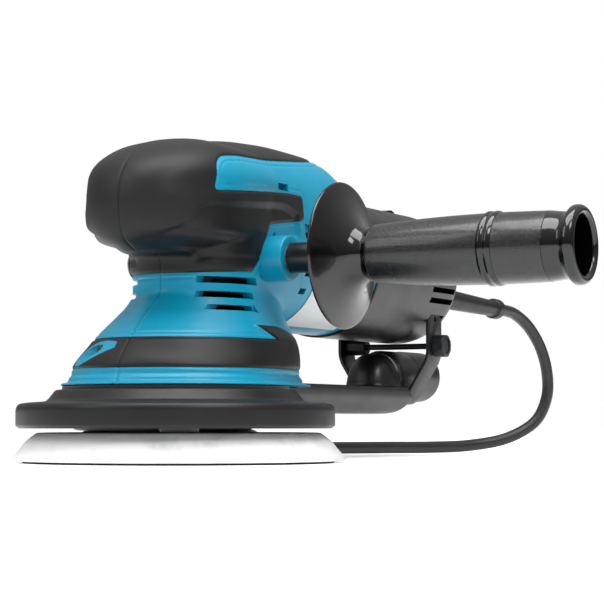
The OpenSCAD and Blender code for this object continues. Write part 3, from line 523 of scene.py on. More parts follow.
def sleeve_profile(length, thick, thin, bore):
    """Outside of the guard: a straight taper, then a thicker ring at the end; inside, the cord's
    own radius."""
    return rounded([[bore, 0], [thick, 0], [thin, length - 8.6], [thin + 1.3, length - 7.6],
                    [thin + 1.3, length - 1.4], [bore + 0.8, length - 0.1], [bore, length - 0.1]],
                   [0.1, 0.3, 0.8, 0.6, 0.9, 0.5, 0.1], 6)


cord_sleeve = lathe("cord_sleeve", sleeve_profile(guard_length, 6.0, 4.7, 3.45), at=GUARD_IN, sides=72,
                    basis=basis_along(guard_line))
mount_on(cord_sleeve, "tool", "black_rubber", "cord_guard")

PLUG_DIRECTION = [-11, -5, 0]
plug_basis = basis_along(PLUG_DIRECTION)
plug_body = lathe("plug_body", rounded([[0, 0], [4.6, 0], [5.2, 7], [6.3, 13.4], [11.6, 14.6], [13.4, 17], [15.2, 23.4],
                                        [15.6, 27], [15.6, 40.6], [0, 40.6]], [0.1, 1.2, 2, 2, 1.5, 2, 3, 1, 1.6, 0.1]),
                  at=TAIL[-1], sides=96, basis=plug_basis)
mount_on(plug_body, "tool", "black_rubber", "plug")
for name, side in (("plug_pin_near", 9.5), ("plug_pin_far", -9.5)):
    spot = TAIL[-1] + side * plug_basis[0] + 40.4 * plug_basis[2]
    pin = lathe(name, rounded([[0, 0], [2.4, 0], [2.4, 18.9], [0, 18.9]], [0.1, 0.1, 1.6, 0.1]), at=spot, sides=40,
                basis=plug_basis)
    mount_on(pin, "tool", "bright_steel", "plug")

# %% [markdown]
# ## Floor and light
# A pale floor and a large soft lamp overhead give the even light of a catalogue. Long lamps on
# both sides draw the bright streaks that show how glossy the handle is. The sky that lights the
# machine is dim, so the black parts stay black, while the backdrop behind it is white.
# The floor glows a little, and more so far away, where the lamps don't reach.

# %% Stage and lamps
def lamp(name, spot, target, size, power, colour=(1, 1, 1)):
    """A soft rectangular lamp at a spot in millimetres, facing a target."""
    data = bpy.data.lights.new(name, "AREA")
    data.shape = "RECTANGLE"
    data.size, data.size_y = (v * MM for v in size)
    data.energy = power
    data.color = colour
    made = bpy.data.objects.new(name, data)
    bpy.context.scene.collection.objects.link(made)
    made.location = np.array(spot) * MM
    aim(made, np.array(target, float) - np.array(spot, float))
    return made


floor = new_piece("floor", [[-4000, -4000, 0], [4000, -4000, 0], [4000, 4000, 0], [-4000, 4000, 0]], [[0, 1, 2, 3]])
floor_finish, tree, shader, place = new_finish("pale_floor")
shader.inputs["Base Color"].default_value = (0.86, 0.86, 0.86, 1)
shader.inputs["Roughness"].default_value = 0.8
shader.inputs["Specular IOR Level"].default_value = 0.1
shader.inputs["Emission Color"].default_value = (1, 1, 1, 1)
reach = tree.nodes.new("ShaderNodeVectorMath")
reach.operation = "LENGTH"
tree.links.new(place, reach.inputs[0])
fade = tree.nodes.new("ShaderNodeMapRange")
for socket, value in zip(("From Min", "From Max", "To Min", "To Max"), (0.2, 1.1, 0.28, 0.9)):
    fade.inputs[socket].default_value = value
tree.links.new(reach.outputs["Value"], fade.inputs["Value"])
tree.links.new(fade.outputs["Result"], shader.inputs["Emission Strength"])
floor.data.materials.append(floor_finish)
world = bpy.data.worlds.new("studio")
world.use_nodes = True
sky = world.node_tree
glow = sky.nodes["Background"]
glow.inputs["Color"].default_value = (1, 1, 1, 1)
rise = sky.nodes.new("ShaderNodeSeparateXYZ")
sky.links.new(sky.nodes.new("ShaderNodeTexCoord").outputs["Generated"], rise.inputs[0])
power = sky.nodes.new("ShaderNodeMapRange")
for socket, value in zip(("From Min", "From Max", "To Min", "To Max"), (-0.1, 1.0, 0.08, 0.80)):
    power.inputs[socket].default_value = value
sky.links.new(rise.outputs["Z"], power.inputs["Value"])
sky.links.new(power.outputs["Result"], glow.inputs["Strength"])
backdrop = sky.nodes.new("ShaderNodeBackground")
backdrop.inputs["Color"].default_value = (1, 1, 1, 1)
seen = sky.nodes.new("ShaderNodeLightPath").outputs["Is Camera Ray"]
either = sky.nodes.new("ShaderNodeMixShader")
sky.links.new(seen, either.inputs[0])
sky.links.new(glow.outputs[0], either.inputs[1])
sky.links.new(backdrop.outputs[0], either.inputs[2])
sky.links.new(either.outputs[0], sky.nodes["World Output"].inputs["Surface"])
bpy.context.scene.world = world
lamp("overhead", (100, 120, 800), (-40, 20, 60), (800, 500), 7.5)
lamp("front_left", (380, 620, 740), (-60, 60, 80), (420, 240), 2.8)
lamp("front_right", (560, -380, 560), (0, 0, 80), (300, 420), 1.2)
bpy.context.scene.view_settings.view_transform = "Standard"
print("stage set")

# %% [markdown]
# ## The body's outer form
# The body is three moulded masses that flow together: a foot that narrows through a waist to a
# neck, a head that overhangs in front, and a saddle that runs back over the motor. Each is lofted
# through level or upright ovals. An oval here is a superellipse: with power n = 2 it is an
# ellipse, and a higher n makes it squarer. Smooth curves through the rows fill in between them,
# the three are remeshed into one skin, and a little smoothing lets them flow into each other.

# %% Rows of the body, and the smooth lofts through them
FOOT_Z, BAND_Z, WAIST_Z, NECK_Z, HEAD_Z, HEAD_TOP = 34.2, 42.0, 55.5, 77.5, 93.4, 147.0
FOOT_R, BAND_R, WAIST_R, NECK_X, NECK_C, SHOULDER = 52.3, 47.3, 37.65, 14.0, -20.0, 30.0
HEAD_R, NOSE_X, BODY_BACK, MOTOR_BACK, MOTOR_Z, MOTOR_R = 36.0, 48.4, -58.0, -137.0, 98.0, 35.0
GRIP_T, SHELL_T = 3.0, 2.4
HANDLE_X, HANDLE_Z = -31.0, 93.4

LOWER_ROWS = np.array([
    [FOOT_Z, 0, FOOT_R, -FOOT_R - 9.7, FOOT_R, 2, 3.2],
    [FOOT_Z + 1.6, 0, FOOT_R - 0.2, -FOOT_R - 9.4, FOOT_R - 0.2, 2, 3.2],
    [FOOT_Z + 2.0, 0, FOOT_R - 3.5, -FOOT_R - 5.6, FOOT_R - 3.3, 2, 3.2],
    [FOOT_Z + 4.0, 0, FOOT_R - 3.7, -FOOT_R - 5.4, FOOT_R - 3.5, 2, 3.2],
    [FOOT_Z + 4.4, 0, FOOT_R - 4.9, -FOOT_R - 5.0, FOOT_R - 4.5, 2, 3.2],
    [BAND_Z, -4, BAND_R, -FOOT_R - 1, BAND_R + 1.2, 2, 3.2],
    [WAIST_Z, NECK_C, BAND_R - 9.6, -51, BAND_R - 3.3, 2, 3.2],
    [WAIST_Z + 5.5, NECK_C, BAND_R - 15.3, -57, BAND_R - 8, 2, 3],
    [WAIST_Z + 11, NECK_C, WAIST_R - 11.6, -62, SHOULDER + 4, 2, 3],
    [NECK_Z - 5.6, NECK_C, NECK_X + 5, -64, SHOULDER + 0.7, 2, 3],
    [NECK_Z, NECK_C, NECK_X, -64, SHOULDER - 0.3, 2, 3],
    [NECK_Z + 8, NECK_C, NECK_X, -64, SHOULDER + 0.4, 2, 3],
    [HEAD_Z - 3.4, NECK_C, NECK_X + 0.2, -64, SHOULDER + 2, 2, 3],
    [HEAD_Z, NECK_C, NECK_X + 0.8, -64, SHOULDER + 4.5, 2, 3],
    [HEAD_Z + 8, NECK_C, NECK_X + 1, -64, SHOULDER + 5, 2, 3]])
HEAD_ROWS = np.array([
    [0, -14, 17.9], [2.4, -8.5, 20], [3.9, -6, 25.6], [6, -4, 32], [9.2, -2, 35.4], [14.4, -0.7, 36.2], [21.6, 0, 36],
    [28.4, -0.8, 35.4], [34.1, -3, 36], [39.3, -7, 34.6], [43.8, -13.4, 31.6], [47, -20, 28.8], [49.2, -25.6, 25.4],
    [51.3, -33, 18.4], [52.9, -39.6, 13.2], [53.6, -46, 6]])
SADDLE_ROWS = np.array([[0, -3, -3], [-20, 1.7, -1.5], [-38, 3.2, -0.5], [-58, 4, 0], [-86, 3.6, 0], [-98, 2.4, 0],
                        [-108, -1, 0], [-118, -5, 0], [-127, -9.6, 0], [-134, -15.4, 0]])


def flow(keys, rows, at):
    """Smooth values between rows: cubic Hermite pieces whose slope at a row is the harmonic mean
    of its neighbours' slopes, or zero at a turning point, so that the curve never overshoots."""
    step = np.diff(keys)[:, None]
    slope = np.diff(rows, axis=0) / step
    left, right = slope[:-1], slope[1:]
    same = left * right > 0
    mean = np.where(same, 2 * left * right / np.where(same, left + right, 1), 0)
    m = np.concatenate([slope[:1], mean, slope[-1:]])
    i = np.clip(np.searchsorted(keys, at, side="right") - 1, 0, len(keys) - 2)
    h = step[i]
    t = ((at - keys[i])[:, None] / h)
    return ((1 + 2 * t) * (1 - t) ** 2 * rows[i] + t * (1 - t) ** 2 * h * m[i]
            + t ** 2 * (3 - 2 * t) * rows[i + 1] + t ** 2 * (t - 1) * h * m[i + 1])


def fine_rows(rows, spacing=0.7):
    """The rows again, close together, evenly along the loft's own length."""
    keys = np.concatenate([[0], np.cumsum(np.linalg.norm(np.diff(rows[:, :4], axis=0), axis=1) + 1e-6)])
    return flow(keys, rows, np.linspace(0, keys[-1], int(keys[-1] / spacing)))


def sign_power(v, p):
    return np.sign(v) * np.abs(v) ** p


def level_ovals(z, middle, front, back, half, n_front, n_back, inset, sides=220):
    """Rings of level superellipses: x = middle + a |cos t|^(2/n), y = b |sin t|^(2/n), where a is
    the reach ahead or behind and n differs in front and behind."""
    t = np.linspace(0, 2 * np.pi, sides, endpoint=False)[None, :]
    ahead = np.cos(t) >= 0
    z, middle, front, back, half, n_front, n_back = (np.asarray(v, float)[:, None] * np.ones_like(t)
                                                     for v in (z, middle, front, back, half, n_front, n_back))
    n = np.where(ahead, n_front, n_back)
    a = np.where(ahead, front - middle, middle - back)
    x = middle + np.maximum(a - inset, 0.5) * sign_power(np.cos(t), 2 / n)
    y = np.maximum(half - inset, 0.5) * sign_power(np.sin(t), 2 / n)
    return np.stack([x, y, z], -1)


def lower_rings(inset, down=0.0):
    r = fine_rows(LOWER_ROWS)
    r[0, 0] -= down
    return level_ovals(*r.T, inset)


def head_rings(inset):
    r = fine_rows(HEAD_ROWS)
    one = np.ones(len(r))
    z = np.clip(HEAD_Z + r[:, 0], HEAD_Z + inset, HEAD_TOP - inset)
    if inset:
        keep = np.concatenate([[True], np.diff(z) > 1e-4])
        r, z, one = r[keep], z[keep], one[keep]
    return level_ovals(z, -5 * one, NOSE_X + r[:, 1], -66 * one, r[:, 2], 2.3 * one, 2.6 * one, inset)


def saddle_rings(inset, sides=200):
    """Upright superellipses along X: y = b cos t and z = middle + h sin t, both with power 2/2.8.
    The lower edge climbs towards the front, so the saddle's first rings stay inside the head."""
    r = fine_rows(SADDLE_ROWS)[:, :, None]
    t = np.linspace(0, 2 * np.pi, sides, endpoint=False)[None, :]
    low, high = HEAD_Z - 28 + 38 * np.clip(1 + r[:, 0] / 44, 0, 1) ** 1.5, HEAD_TOP + r[:, 1]
    half = HEAD_R - 0.4 + r[:, 2] - inset
    y = -half * sign_power(np.cos(t), 2 / 2.8)
    z = (low + high) / 2 + ((high - low) / 2 - inset) * sign_power(np.sin(t), 2 / 2.8)
    return np.stack([r[:, 0] + 0 * t, y, z], -1)


def whole_form(name, inset, down=0.0):
    """The three masses joined into one, each set in by the inset."""
    form = skin(name, lower_rings(inset, down))
    return cut(form, [skin("head_mass", head_rings(inset)), skin("saddle_mass", saddle_rings(inset))], "UNION")


def box_mesh(name, low, high):
    (x0, y0, z0), (x1, y1, z1) = low, high
    return skin_flat(name, np.array([[[x0, y0, z], [x1, y0, z], [x1, y1, z], [x0, y1, z]] for z in (z0, z1)], float))


form = whole_form("body_form", 0)
print("form:", len(form.data.polygons), "faces before remeshing")

# %% Remesh the form into one even skin and let its masses flow together
import time
clock = time.time()
remesh = form.modifiers.new("even", "REMESH")
remesh.mode, remesh.voxel_size = "VOXEL", 0.62 * MM
settle(form)
points = np.zeros(len(form.data.vertices) * 3, np.float32)
form.data.vertices.foreach_get("co", points)
points = points.reshape(-1, 3) / MM
upper = form.vertex_groups.new(name="upper")
upper.add(np.nonzero(points[:, 2] > 62)[0].tolist(), 1.0, "REPLACE")
for factor, times, group in ((0.5, 3, ""), (0.5, 60, "upper")):
    ease = form.modifiers.new("ease", "SMOOTH")
    ease.factor, ease.iterations, ease.vertex_group = factor, times, group
settle(form)
print("form:", len(form.data.polygons), "faces,", round(time.time() - clock, 1), "s")

# %% [markdown]
# ## Where soft grip meets hard plastic
# On the real machine the soft grip is moulded over the blue body and stops in a fine groove, and
# the blue has a second fine line beside it. Seen from the side, each border is one outline. The
# signed distance to that outline, worked out for every point at once, says how far to press the
# skin in: a V at the border, a small step down on the blue side, and a scooped rest for the
# fingertips on each flank. Pressing the skin keeps these edges round, which a plain cut wouldn't.

# %% Outlines of the soft grip and the soft band, and the groove between soft and hard
GRIP_OUTLINE = rounded([
    [80, HEAD_Z - 8.6], [NECK_X, HEAD_Z - 8.6], [-17, HEAD_Z - 6.6], [-29, HEAD_Z + 16], [BODY_BACK + 1, HEAD_Z + 20],
    [BODY_BACK + 1, HEAD_Z + 31.6], [-41, HEAD_Z + 31.6], [20, HEAD_Z + 26.6], [18, HEAD_Z + 39], [12, HEAD_Z + 43],
    [0, HEAD_Z + 44.6], [-30, HEAD_Z + 46], [-60, HEAD_Z + 49], [-85, HEAD_Z + 52], [-104, HEAD_Z + 56],
    [-104, HEAD_Z + 80], [80, HEAD_Z + 80]], [1, 8, 1.5, 2, 1.6, 2.4, 8, 2.4, 4, 3, 6, 12, 12, 10, 2, 1, 1], steps=7)
BAND_OUTLINE = rounded([[80, BAND_Z], [80, WAIST_Z], [-16, WAIST_Z], [-9, WAIST_Z + 6.4], [-27, WAIST_Z + 6.4],
                        [-44, WAIST_Z + 0.4], [-53, BAND_Z]], [1, 1, 0.8, 0.8, 4, 4, 1], steps=5)
FINGER_REST = rounded([[27, 115.5], [-40, 120.6], [-54, 116.5], [-54, 104], [-27, 96], [-20, 88.5], [60, 88.5], [60, 95],
                       [46, 98], [36, 104.5]], [5, 6, 5, 3, 6, 4, 1, 1, 6, 6], steps=6)


def outline_distance(spots, outline):
    """Distance from (x, z) spots to a closed outline, negative inside. For each edge: how far the
    spot is from its nearest point on the edge. A spot is inside if a level ray crosses an odd
    number of edges."""
    best, inside = np.full(len(spots), 1e9), np.zeros(len(spots), bool)
    for a, b in zip(outline, np.roll(outline, -1, 0)):
        edge = b - a
        share = np.clip((spots - a) @ edge / max(edge @ edge, 1e-12), 0, 1)
        best = np.minimum(best, np.linalg.norm(spots - a - share[:, None] * edge, axis=1))
        spans = (a[1] > spots[:, 1]) != (b[1] > spots[:, 1])
        crossing = a[0] + (spots[:, 1] - a[1]) * edge[0] / (edge[1] if abs(edge[1]) > 1e-9 else 1e-9)
        inside ^= spans & (spots[:, 0] < crossing)
    return np.where(inside, -best, best)


def smooth_step(v):
    v = np.clip(v, 0, 1)
    return v * v * (3 - 2 * v)


def v_groove(distance, width):
    """1 at the line, easing to 0 at the width on both sides."""
    return np.clip(1 - np.abs(distance) / width, 0, 1) ** 1.6


def press_in(piece):
    """Moves each point of the skin inwards along its normal by the sum of the grooves there."""
    mesh = piece.data
    spots, normals = (np.zeros(len(mesh.vertices) * 3, np.float32) for _ in (0, 1))
    mesh.vertices.foreach_get("co", spots)
    mesh.vertices.foreach_get("normal", normals)
    spots, normals = spots.reshape(-1, 3) / MM, normals.reshape(-1, 3)
    flank = spots[:, [0, 2]]
    border = np.minimum(outline_distance(flank, GRIP_OUTLINE), outline_distance(flank, BAND_OUTLINE))
    depth = 0.30 * smooth_step(border / 0.8) + 0.75 * v_groove(border, 1.1)
    depth += 0.34 * v_groove(border - 2.3, 0.75)
    depth += 0.42 * v_groove(spots[:, 1], 0.9)
    rest = outline_distance(flank, FINGER_REST)
    side_facing = smooth_step((np.abs(normals[:, 1]) - 0.25) / 0.4) * smooth_step((np.abs(spots[:, 1]) - 12) / 8)
    depth += 1.9 * smooth_step(-rest / 3.6) * side_facing
    moved = (spots - depth[:, None] * normals) * MM
    mesh.vertices.foreach_set("co", moved.astype(np.float32).ravel())
    mesh.update()
    return piece


press_in(form)
print("grooves pressed in")

# %% [markdown]
# ## Cutting the form into its mouldings
# The pieces are cut from that one skin, so their surfaces line up exactly, as they do on the real
# machine: a left and a right blue half, the soft grip over the head and neck, and the soft band
# round the foot. The fast "manifold" boolean suits this, because every tool is a closed solid. The
# blue halves are hollow: an inner copy of the form, set in by the wall, is taken out of them.

# %% Cut the body halves, grips and bands
BOSS_R, BOSS_Y, CASE_R, CASE_Z, CASE_H = 6.6, 43.0, 28.4, 99.2, 25.4
SCREWS = [(36.3, 48.5), (34.5, 115.4), (-48.0, 141.0), (-38.0, 58.5)]
VENTS = [[[-22, 80.6], [-20.6, 83.7], [33, 83.7], [32, 80.6]], [[-19, 74.1], [-17.8, 77], [33, 77], [31.4, 74.1]],
         [[-17, 68.3], [-16, 70.8], [25, 70.8], [20, 68.3]]]
SLITS = [[[-33.6, 105.6], [-32.2, 105.8], [-24.4, 89], [-25.8, 88.6]],
         [[-22.8, 85.4], [-21.4, 85.6], [-15.6, 75], [-15.4, 72], [-17.2, 67.6], [-18.6, 68], [-17, 72], [-17.2, 74.4]]]


def rod(name, radius, low, high, axis, at, sides=48, ease=0.0):
    """A solid cylinder from low to high along an axis, with eased rims."""
    corners = [[0, low], [radius, low], [radius, high], [0, high]]
    return lathe(name, rounded(corners, [1e-6, ease or 0.01, ease or 0.01, 1e-6], 4 if ease else 2), axis, at, sides)


def behind_body(name, ahead=0.0):
    """The block that is cut away behind the body, below the saddle's lower edge."""
    return box_mesh(name, (-260, -100, -5), (BODY_BACK + ahead, 100, HEAD_Z + 18.6))


cut(form, behind_body("behind"))
middle = cut(whole_form("under_grip", GRIP_T + 1.1), behind_body("behind"))
core = whole_form("hollow", GRIP_T + SHELL_T, down=1.0)
cut(core, box_mesh("behind", (-260, -100, -5), (BODY_BACK - 1, 100, HEAD_Z + 18.6)))
print("core", len(core.data.polygons))
posts_in = whole_form("posts_in", GRIP_T + 1)


def outward(outline, by):
    """An outline moved outwards along its own normals."""
    along = np.roll(outline, -1, 0) - np.roll(outline, 1, 0)
    normal = np.stack([along[:, 1], -along[:, 0]], 1) / np.maximum(np.linalg.norm(along, axis=1), 1e-9)[:, None]
    turn = np.sign(np.sum(outline[:, 0] * np.roll(outline[:, 1], -1) - np.roll(outline[:, 0], -1) * outline[:, 1]))
    return outline + turn * by * normal


def grip_prism(by=0.0):
    return prism("grip_zone", outward(GRIP_OUTLINE, by), -100, 100)


def band_prism(by=0.0):
    return prism("band_zone", outward(BAND_OUTLINE, by), -100, 100)


def half_space(s, gap=0.08):
    low, high = sorted((s * gap, s * 200))
    return box_mesh("half", (-300, low, -20), (200, high, 300))


hard = cut(copy_of(form, "hard"), [grip_prism(0.1), band_prism(0.1)])
cut(hard, middle, "UNION", keep=True)
eye = cut(rod("eye", 5.6, -100, -6, "y", (SCREWS[0][0], 0, SCREWS[0][1]), 72), form, "INTERSECT", keep=True)
cut(hard, eye, "UNION")
cut(hard, rod("boss_ring", BOSS_R + 4, 0, BOSS_Y - 0.3, "y", (HANDLE_X, 0, HANDLE_Z), 72, 1.0), "UNION")
cut(hard, core, keep=True)
posts = [cut(rod("post", 5.0, -60, 60, "y", (x, 0, z)), posts_in, "INTERSECT", keep=True) for x, z in SCREWS]
cut(hard, posts, "UNION")
cut(hard, [rod("screw_way", 2.3, -100, 12, "y", (x, 0, z)) for x, z in SCREWS])
cut(hard, [rod("screw_sink", 3.9, -100, -14, "y", (x, 0, z)) for x, z in SCREWS])
cut(hard, [rod("plate_seat", 46.6, FOOT_Z - 2, FOOT_Z + 3.3, "z", (0, 0, 0), 96),
           rod("case_low", CASE_R - 2.7, CASE_Z - 0.3, CASE_Z + 10, "z", (0, 0, 0), 96),
           rod("case_high", CASE_R + 0.3, CASE_Z + 2.7, CASE_Z + CASE_H + 0.3, "z", (0, 0, 0), 96),
           rod("boss_bore", BOSS_R + 0.3, -100, 100, "y", (HANDLE_X, 0, HANDLE_Z)),
           rod("motor_bore", MOTOR_R + 0.3, MOTOR_BACK - 10, BODY_BACK + 0.3, "x", (0, 0, MOTOR_Z), 128)])
for s in (1, -1):
    cut(hard, [prism("vent", outline, *sorted((s * near, s * 100))) for outline, near in zip(VENTS, (15.6, 15.6, 21.6))])
    cut(hard, [prism("slit", outline, *sorted((s * 30.2, s * 100))) for outline in SLITS])
    cut(hard, [box_mesh("panel_slot", (-44.6, min(s * 30, s * 42), 126.0), (-35.0, max(s * 30, s * 42), 129.4))])
soft = cut(cut(copy_of(form, "soft"), grip_prism(), "INTERSECT"), middle, keep=True)
cut(soft, rod("boss_clear", BOSS_R + 4.3, 0, 100, "y", (HANDLE_X, 0, HANDLE_Z)))
cut(soft, rod("boss_cover", BOSS_R + 1.4, -BOSS_Y + 1, -28, "y", (HANDLE_X, 0, HANDLE_Z), 72, 1.0), "UNION")
cut(soft, rod("boss_bore", BOSS_R + 0.3, -100, 0, "y", (HANDLE_X, 0, HANDLE_Z)))
cut(soft, [rod("screw_sink", 3.9, -100, -14, "y", (x, 0, z)) for x, z in SCREWS])
band = cut(cut(copy_of(form, "band"), band_prism(), "INTERSECT"), middle, keep=True)
cut(band, rod("eye_way", 5.65, -100, -6, "y", (SCREWS[0][0], 0, SCREWS[0][1]), 72))
for s, side in ((1, "left"), (-1, "right")):
    for source, name, slot in ((hard, "body", "blue_plastic"), (soft, "head_grip", "grip_rubber"),
                               (band, "base_band", "grip_rubber")):
        piece = cut(copy_of(source, f"{name}_{side}_shown"), half_space(s), "INTERSECT")
        soften_edges(piece, 40)
        mount_on(piece, "tool", slot, f"{name}_{side}")
for spare in (form, middle, core, posts_in, hard, soft, band):
    bpy.data.objects.remove(spare)
print("body cut,", round(time.time() - clock, 1), "s")

# %% [markdown]
# ## Pad, hook facing and skirt
# All three are turned shapes, so each is one profile, spun. The pad is a thin flared dish of cast
# foam. Its axis sits beside the spindle's by the orbit's radius. The rubber skirt above it hides
# the gears and guides the dust; behind, it has a gap where the dust duct joins it.

# %% Pad, facing and skirt
ORBIT = 2.75
pad_profile = rounded([[0, 1], [74.6, 1], [75, 1.5], [74.9, 3.0], [72.7, 5.4], [71.0, 7.4], [69.6, 9.4], [66.6, 11.8], [64.2, 13.6],
                       [60.2, 13.7], [60, 10.75], [0, 10.75]], [0.1, 0.3, 0.3, 0.5, 3, 3, 3, 3, 1.2, 0.3, 0.3, 0.1], steps=6)
foam_pad = lathe("foam_pad", pad_profile, at=(-ORBIT, 0, 0), sides=256)
mount_on(foam_pad, "pad_assembly", "pad_foam", "backing_pad")
pile = lathe("hook_pile", rounded([[0, 0], [70.5, 0], [70.5, 1], [0, 1]], [0.1, 0.35, 0.35, 0.1], 4), at=(-ORBIT, 0, 0), sides=256)
mount_on(pile, "pad_assembly", "hook_facing", "hook_facing")

SKIRT_Z, SKIRT_R, SKIRT_TOP_R, SKIRT_H = 15.5, 72.0, 54.4, 17.2
skirt_profile = rounded([
    [SKIRT_R - 1.6, SKIRT_Z], [SKIRT_R, SKIRT_Z + 1.2], [SKIRT_R, SKIRT_Z + 8.8], [SKIRT_R - 1.2, SKIRT_Z + 10.9],
    [SKIRT_R - 5, SKIRT_Z + 11.5], [SKIRT_R - 12.8, SKIRT_Z + 12.0], [SKIRT_TOP_R + 3.4, SKIRT_Z + 12.7],
    [SKIRT_TOP_R + 0.4, SKIRT_Z + SKIRT_H - 0.6], [SKIRT_TOP_R - 0.4, SKIRT_Z + SKIRT_H],
    [SKIRT_TOP_R - 2.4, SKIRT_Z + SKIRT_H], [SKIRT_TOP_R - 2.4, SKIRT_Z + 9], [SKIRT_R - 5, SKIRT_Z + 7],
    [SKIRT_R - 5, SKIRT_Z]], [0.5, 0.5, 1.4, 1.4, 1.4, 2, 2, 0.5, 0.4, 0.3, 0.5, 0.5, 0.3], steps=6)
skirt = lathe("skirt_shown", skirt_profile, sides=256)
cut(skirt, box_mesh("duct_gap", (-SKIRT_R - 1, -18.3, 22.7), (-SKIRT_R + 24, 18.3, 53)))
soften_edges(skirt)
mount_on(skirt, "tool", "black_rubber", "skirt")

# %% [markdown]
# ## Side handle
# The handle is one moulding: a broad guard whose cone sweeps into the grip, a grip with two beads
# and a flared open end. Only the grip is grained, so it's made as two turned pieces, the glossy
# guard and end, and the grained shaft between them, and every profile corner is eased.

# %% Handle
HANDLE_FROM = 66.0
guard_profile = rounded([[4.05, 0], [8.6, 0], [10, 1.6], [20, 2.0], [32.6, 2.0], [33.4, 2.6], [33.2, 3.7], [26.4, 5.5], [19.2, 8.5],
                         [13.6, 12.6], [11.5, 17.2], [12.3, 19.0], [13.2, 20.4], [4.05, 20.4]],
                        [0.1, 0.6, 0.6, 3, 0.5, 0.5, 0.8, 5, 5, 5, 2.2, 0.8, 0.4, 0.1], steps=9)
grip_profile = rounded([[4.05, 20.4], [13.2, 20.4], [14.3, 34], [15.3, 56], [15.65, 74.6], [4.05, 74.6]],
                       [0.1, 0.3, 9, 9, 0.3, 0.1], steps=8)
bead_profile = rounded([[13.0, 74.6], [15.65, 74.6], [16.45, 75.6], [16.45, 76.6], [15.8, 77.7], [16.45, 78.9], [16.45, 79.9], [15.7, 81.2],
                        [13.0, 81.2]], [0.1, 0.2, 0.7, 0.7, 0.7, 0.7, 0.7, 0.3, 0.1], steps=6)
end_grip_profile = rounded([[12.95, 81.2], [15.7, 81.2], [15.55, 92], [15.3, 104], [12.95, 104]], [0.1, 0.2, 5, 0.2, 0.1], steps=6)
end_profile = rounded([[12.95, 104], [15.3, 104], [14.6, 109.4], [14.5, 111.4], [15.4, 113.2], [17.0, 114.2], [17.35, 115.6],
                       [17.2, 117.6], [15.9, 119], [14.0, 118.9], [13.0, 117.6]],
                      [0.1, 0.4, 2.5, 1.2, 1.2, 1.0, 1.0, 1.2, 1.0, 0.8, 0.6], steps=7)
for name, profile, slot, finish in (("handle_guard", guard_profile, "gloss_black", None),
                                    ("handle_shaft", grip_profile, "gloss_black", grained_black),
                                    ("handle_beads", bead_profile, "gloss_black", None),
                                    ("handle_end_grip", end_grip_profile, "gloss_black", grained_black),
                                    ("handle_end", end_profile, "gloss_black", None)):
    piece = lathe(name, profile, "y", (HANDLE_X, HANDLE_FROM, HANDLE_Z), 192)
    soften_edges(piece, 50)
    mount_on(piece, "tool", slot, "handle_grip", finish=finish)
collar = rod("handle_spacer", 7.0, BOSS_Y + 0.05, HANDLE_FROM - 0.1, "y", (HANDLE_X, 0, HANDLE_Z), 96, 0.6)
cut(collar, rod("stud_way", 4.03, 0, 100, "y", (HANDLE_X, 0, HANDLE_Z)))
soften_edges(collar)
mount_on(collar, "tool", "gloss_black", "handle_collar", finish=FINISH["black_plastic"])

# %% [markdown]
# ## Motor housing and rear housing
# A blue tube holds the motor; a black cover closes the back and holds the switch, the speed dial
# and the cord. Both are turned shells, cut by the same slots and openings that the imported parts
# have, so the pieces beside them still fit.

# %% Housings
REAR_BACK, REAR_R, WALL = -243.0, 36.0, 2.6
tube_profile = rounded([[MOTOR_R - WALL, 0], [MOTOR_R - 0.4, 0], [MOTOR_R, 0.5], [MOTOR_R, 78.5], [MOTOR_R - 0.4, 79],
                        [MOTOR_R - WALL, 79]], 0.25, 4)
motor_tube = lathe("motor_tube", tube_profile, "x", (MOTOR_BACK, 0, MOTOR_Z), 192)
for turn in range(-30, 31, 15):
    a = np.radians(turn)
    across, up = np.array([0, np.cos(a), np.sin(a)]), np.array([0, -np.sin(a), np.cos(a)])
    corner = np.array([BODY_BACK - 9, 0, MOTOR_Z]) + (MOTOR_R - 6) * across
    loop = [corner - 1.6 * up, corner + 12 * across - 1.6 * up, corner + 12 * across + 1.6 * up, corner + 1.6 * up]
    cut(motor_tube, skin_flat("air_slot", np.array([loop, [p + [6, 0, 0] for p in loop]])))
soften_edges(motor_tube)
mount_on(motor_tube, "tool", "blue_plastic", "motor_housing")

rear_profile = rounded([
    [REAR_R - WALL - 2.4, 6], [REAR_R - WALL - 2.4, 103], [REAR_R - WALL, 103], [REAR_R - WALL, 106], [REAR_R - 0.4, 106],
    [REAR_R, 105.5], [REAR_R, 11], [REAR_R - 1.6, 5], [REAR_R - 5, 1.6], [REAR_R - 10, 0], [0, 0], [0, 4], [REAR_R - 12, 4],
    [REAR_R - WALL - 3.6, 4.6]], [0.3, 0.3, 0.3, 0.2, 0.3, 0.3, 5, 3, 3, 4, 0.1, 0.1, 0.5, 0.5], steps=6)
rear_cover = lathe("rear_cover", rear_profile, "x", (REAR_BACK, 0, MOTOR_Z), 192)
rear_posts = [rod("post", 4, REAR_BACK + 2, REAR_BACK + 18, "x", (0, y, MOTOR_Z + z)) for y, z in ((-22, -6), (16, 17))]
cut(rear_cover, rear_posts, "UNION")
STRAP_X, STRAP_W, CORD_HOLE = -222.7, 17.0, (0, 17.0, 89.0)
rear_cuts = [rod("screw_way", 2, REAR_BACK - 1, REAR_BACK + 17, "x", (0, y, MOTOR_Z + z)) for y, z in ((-22, -6), (16, 17))]
rear_cuts.append(rod("cord_way", 6.3, REAR_BACK - 1, REAR_BACK + 9, "x", CORD_HOLE))
rear_cuts.append(box_mesh("switch_way", (-206, -REAR_R - 1, MOTOR_Z - 4.5), (-183, -REAR_R + 9, MOTOR_Z + 4.5)))
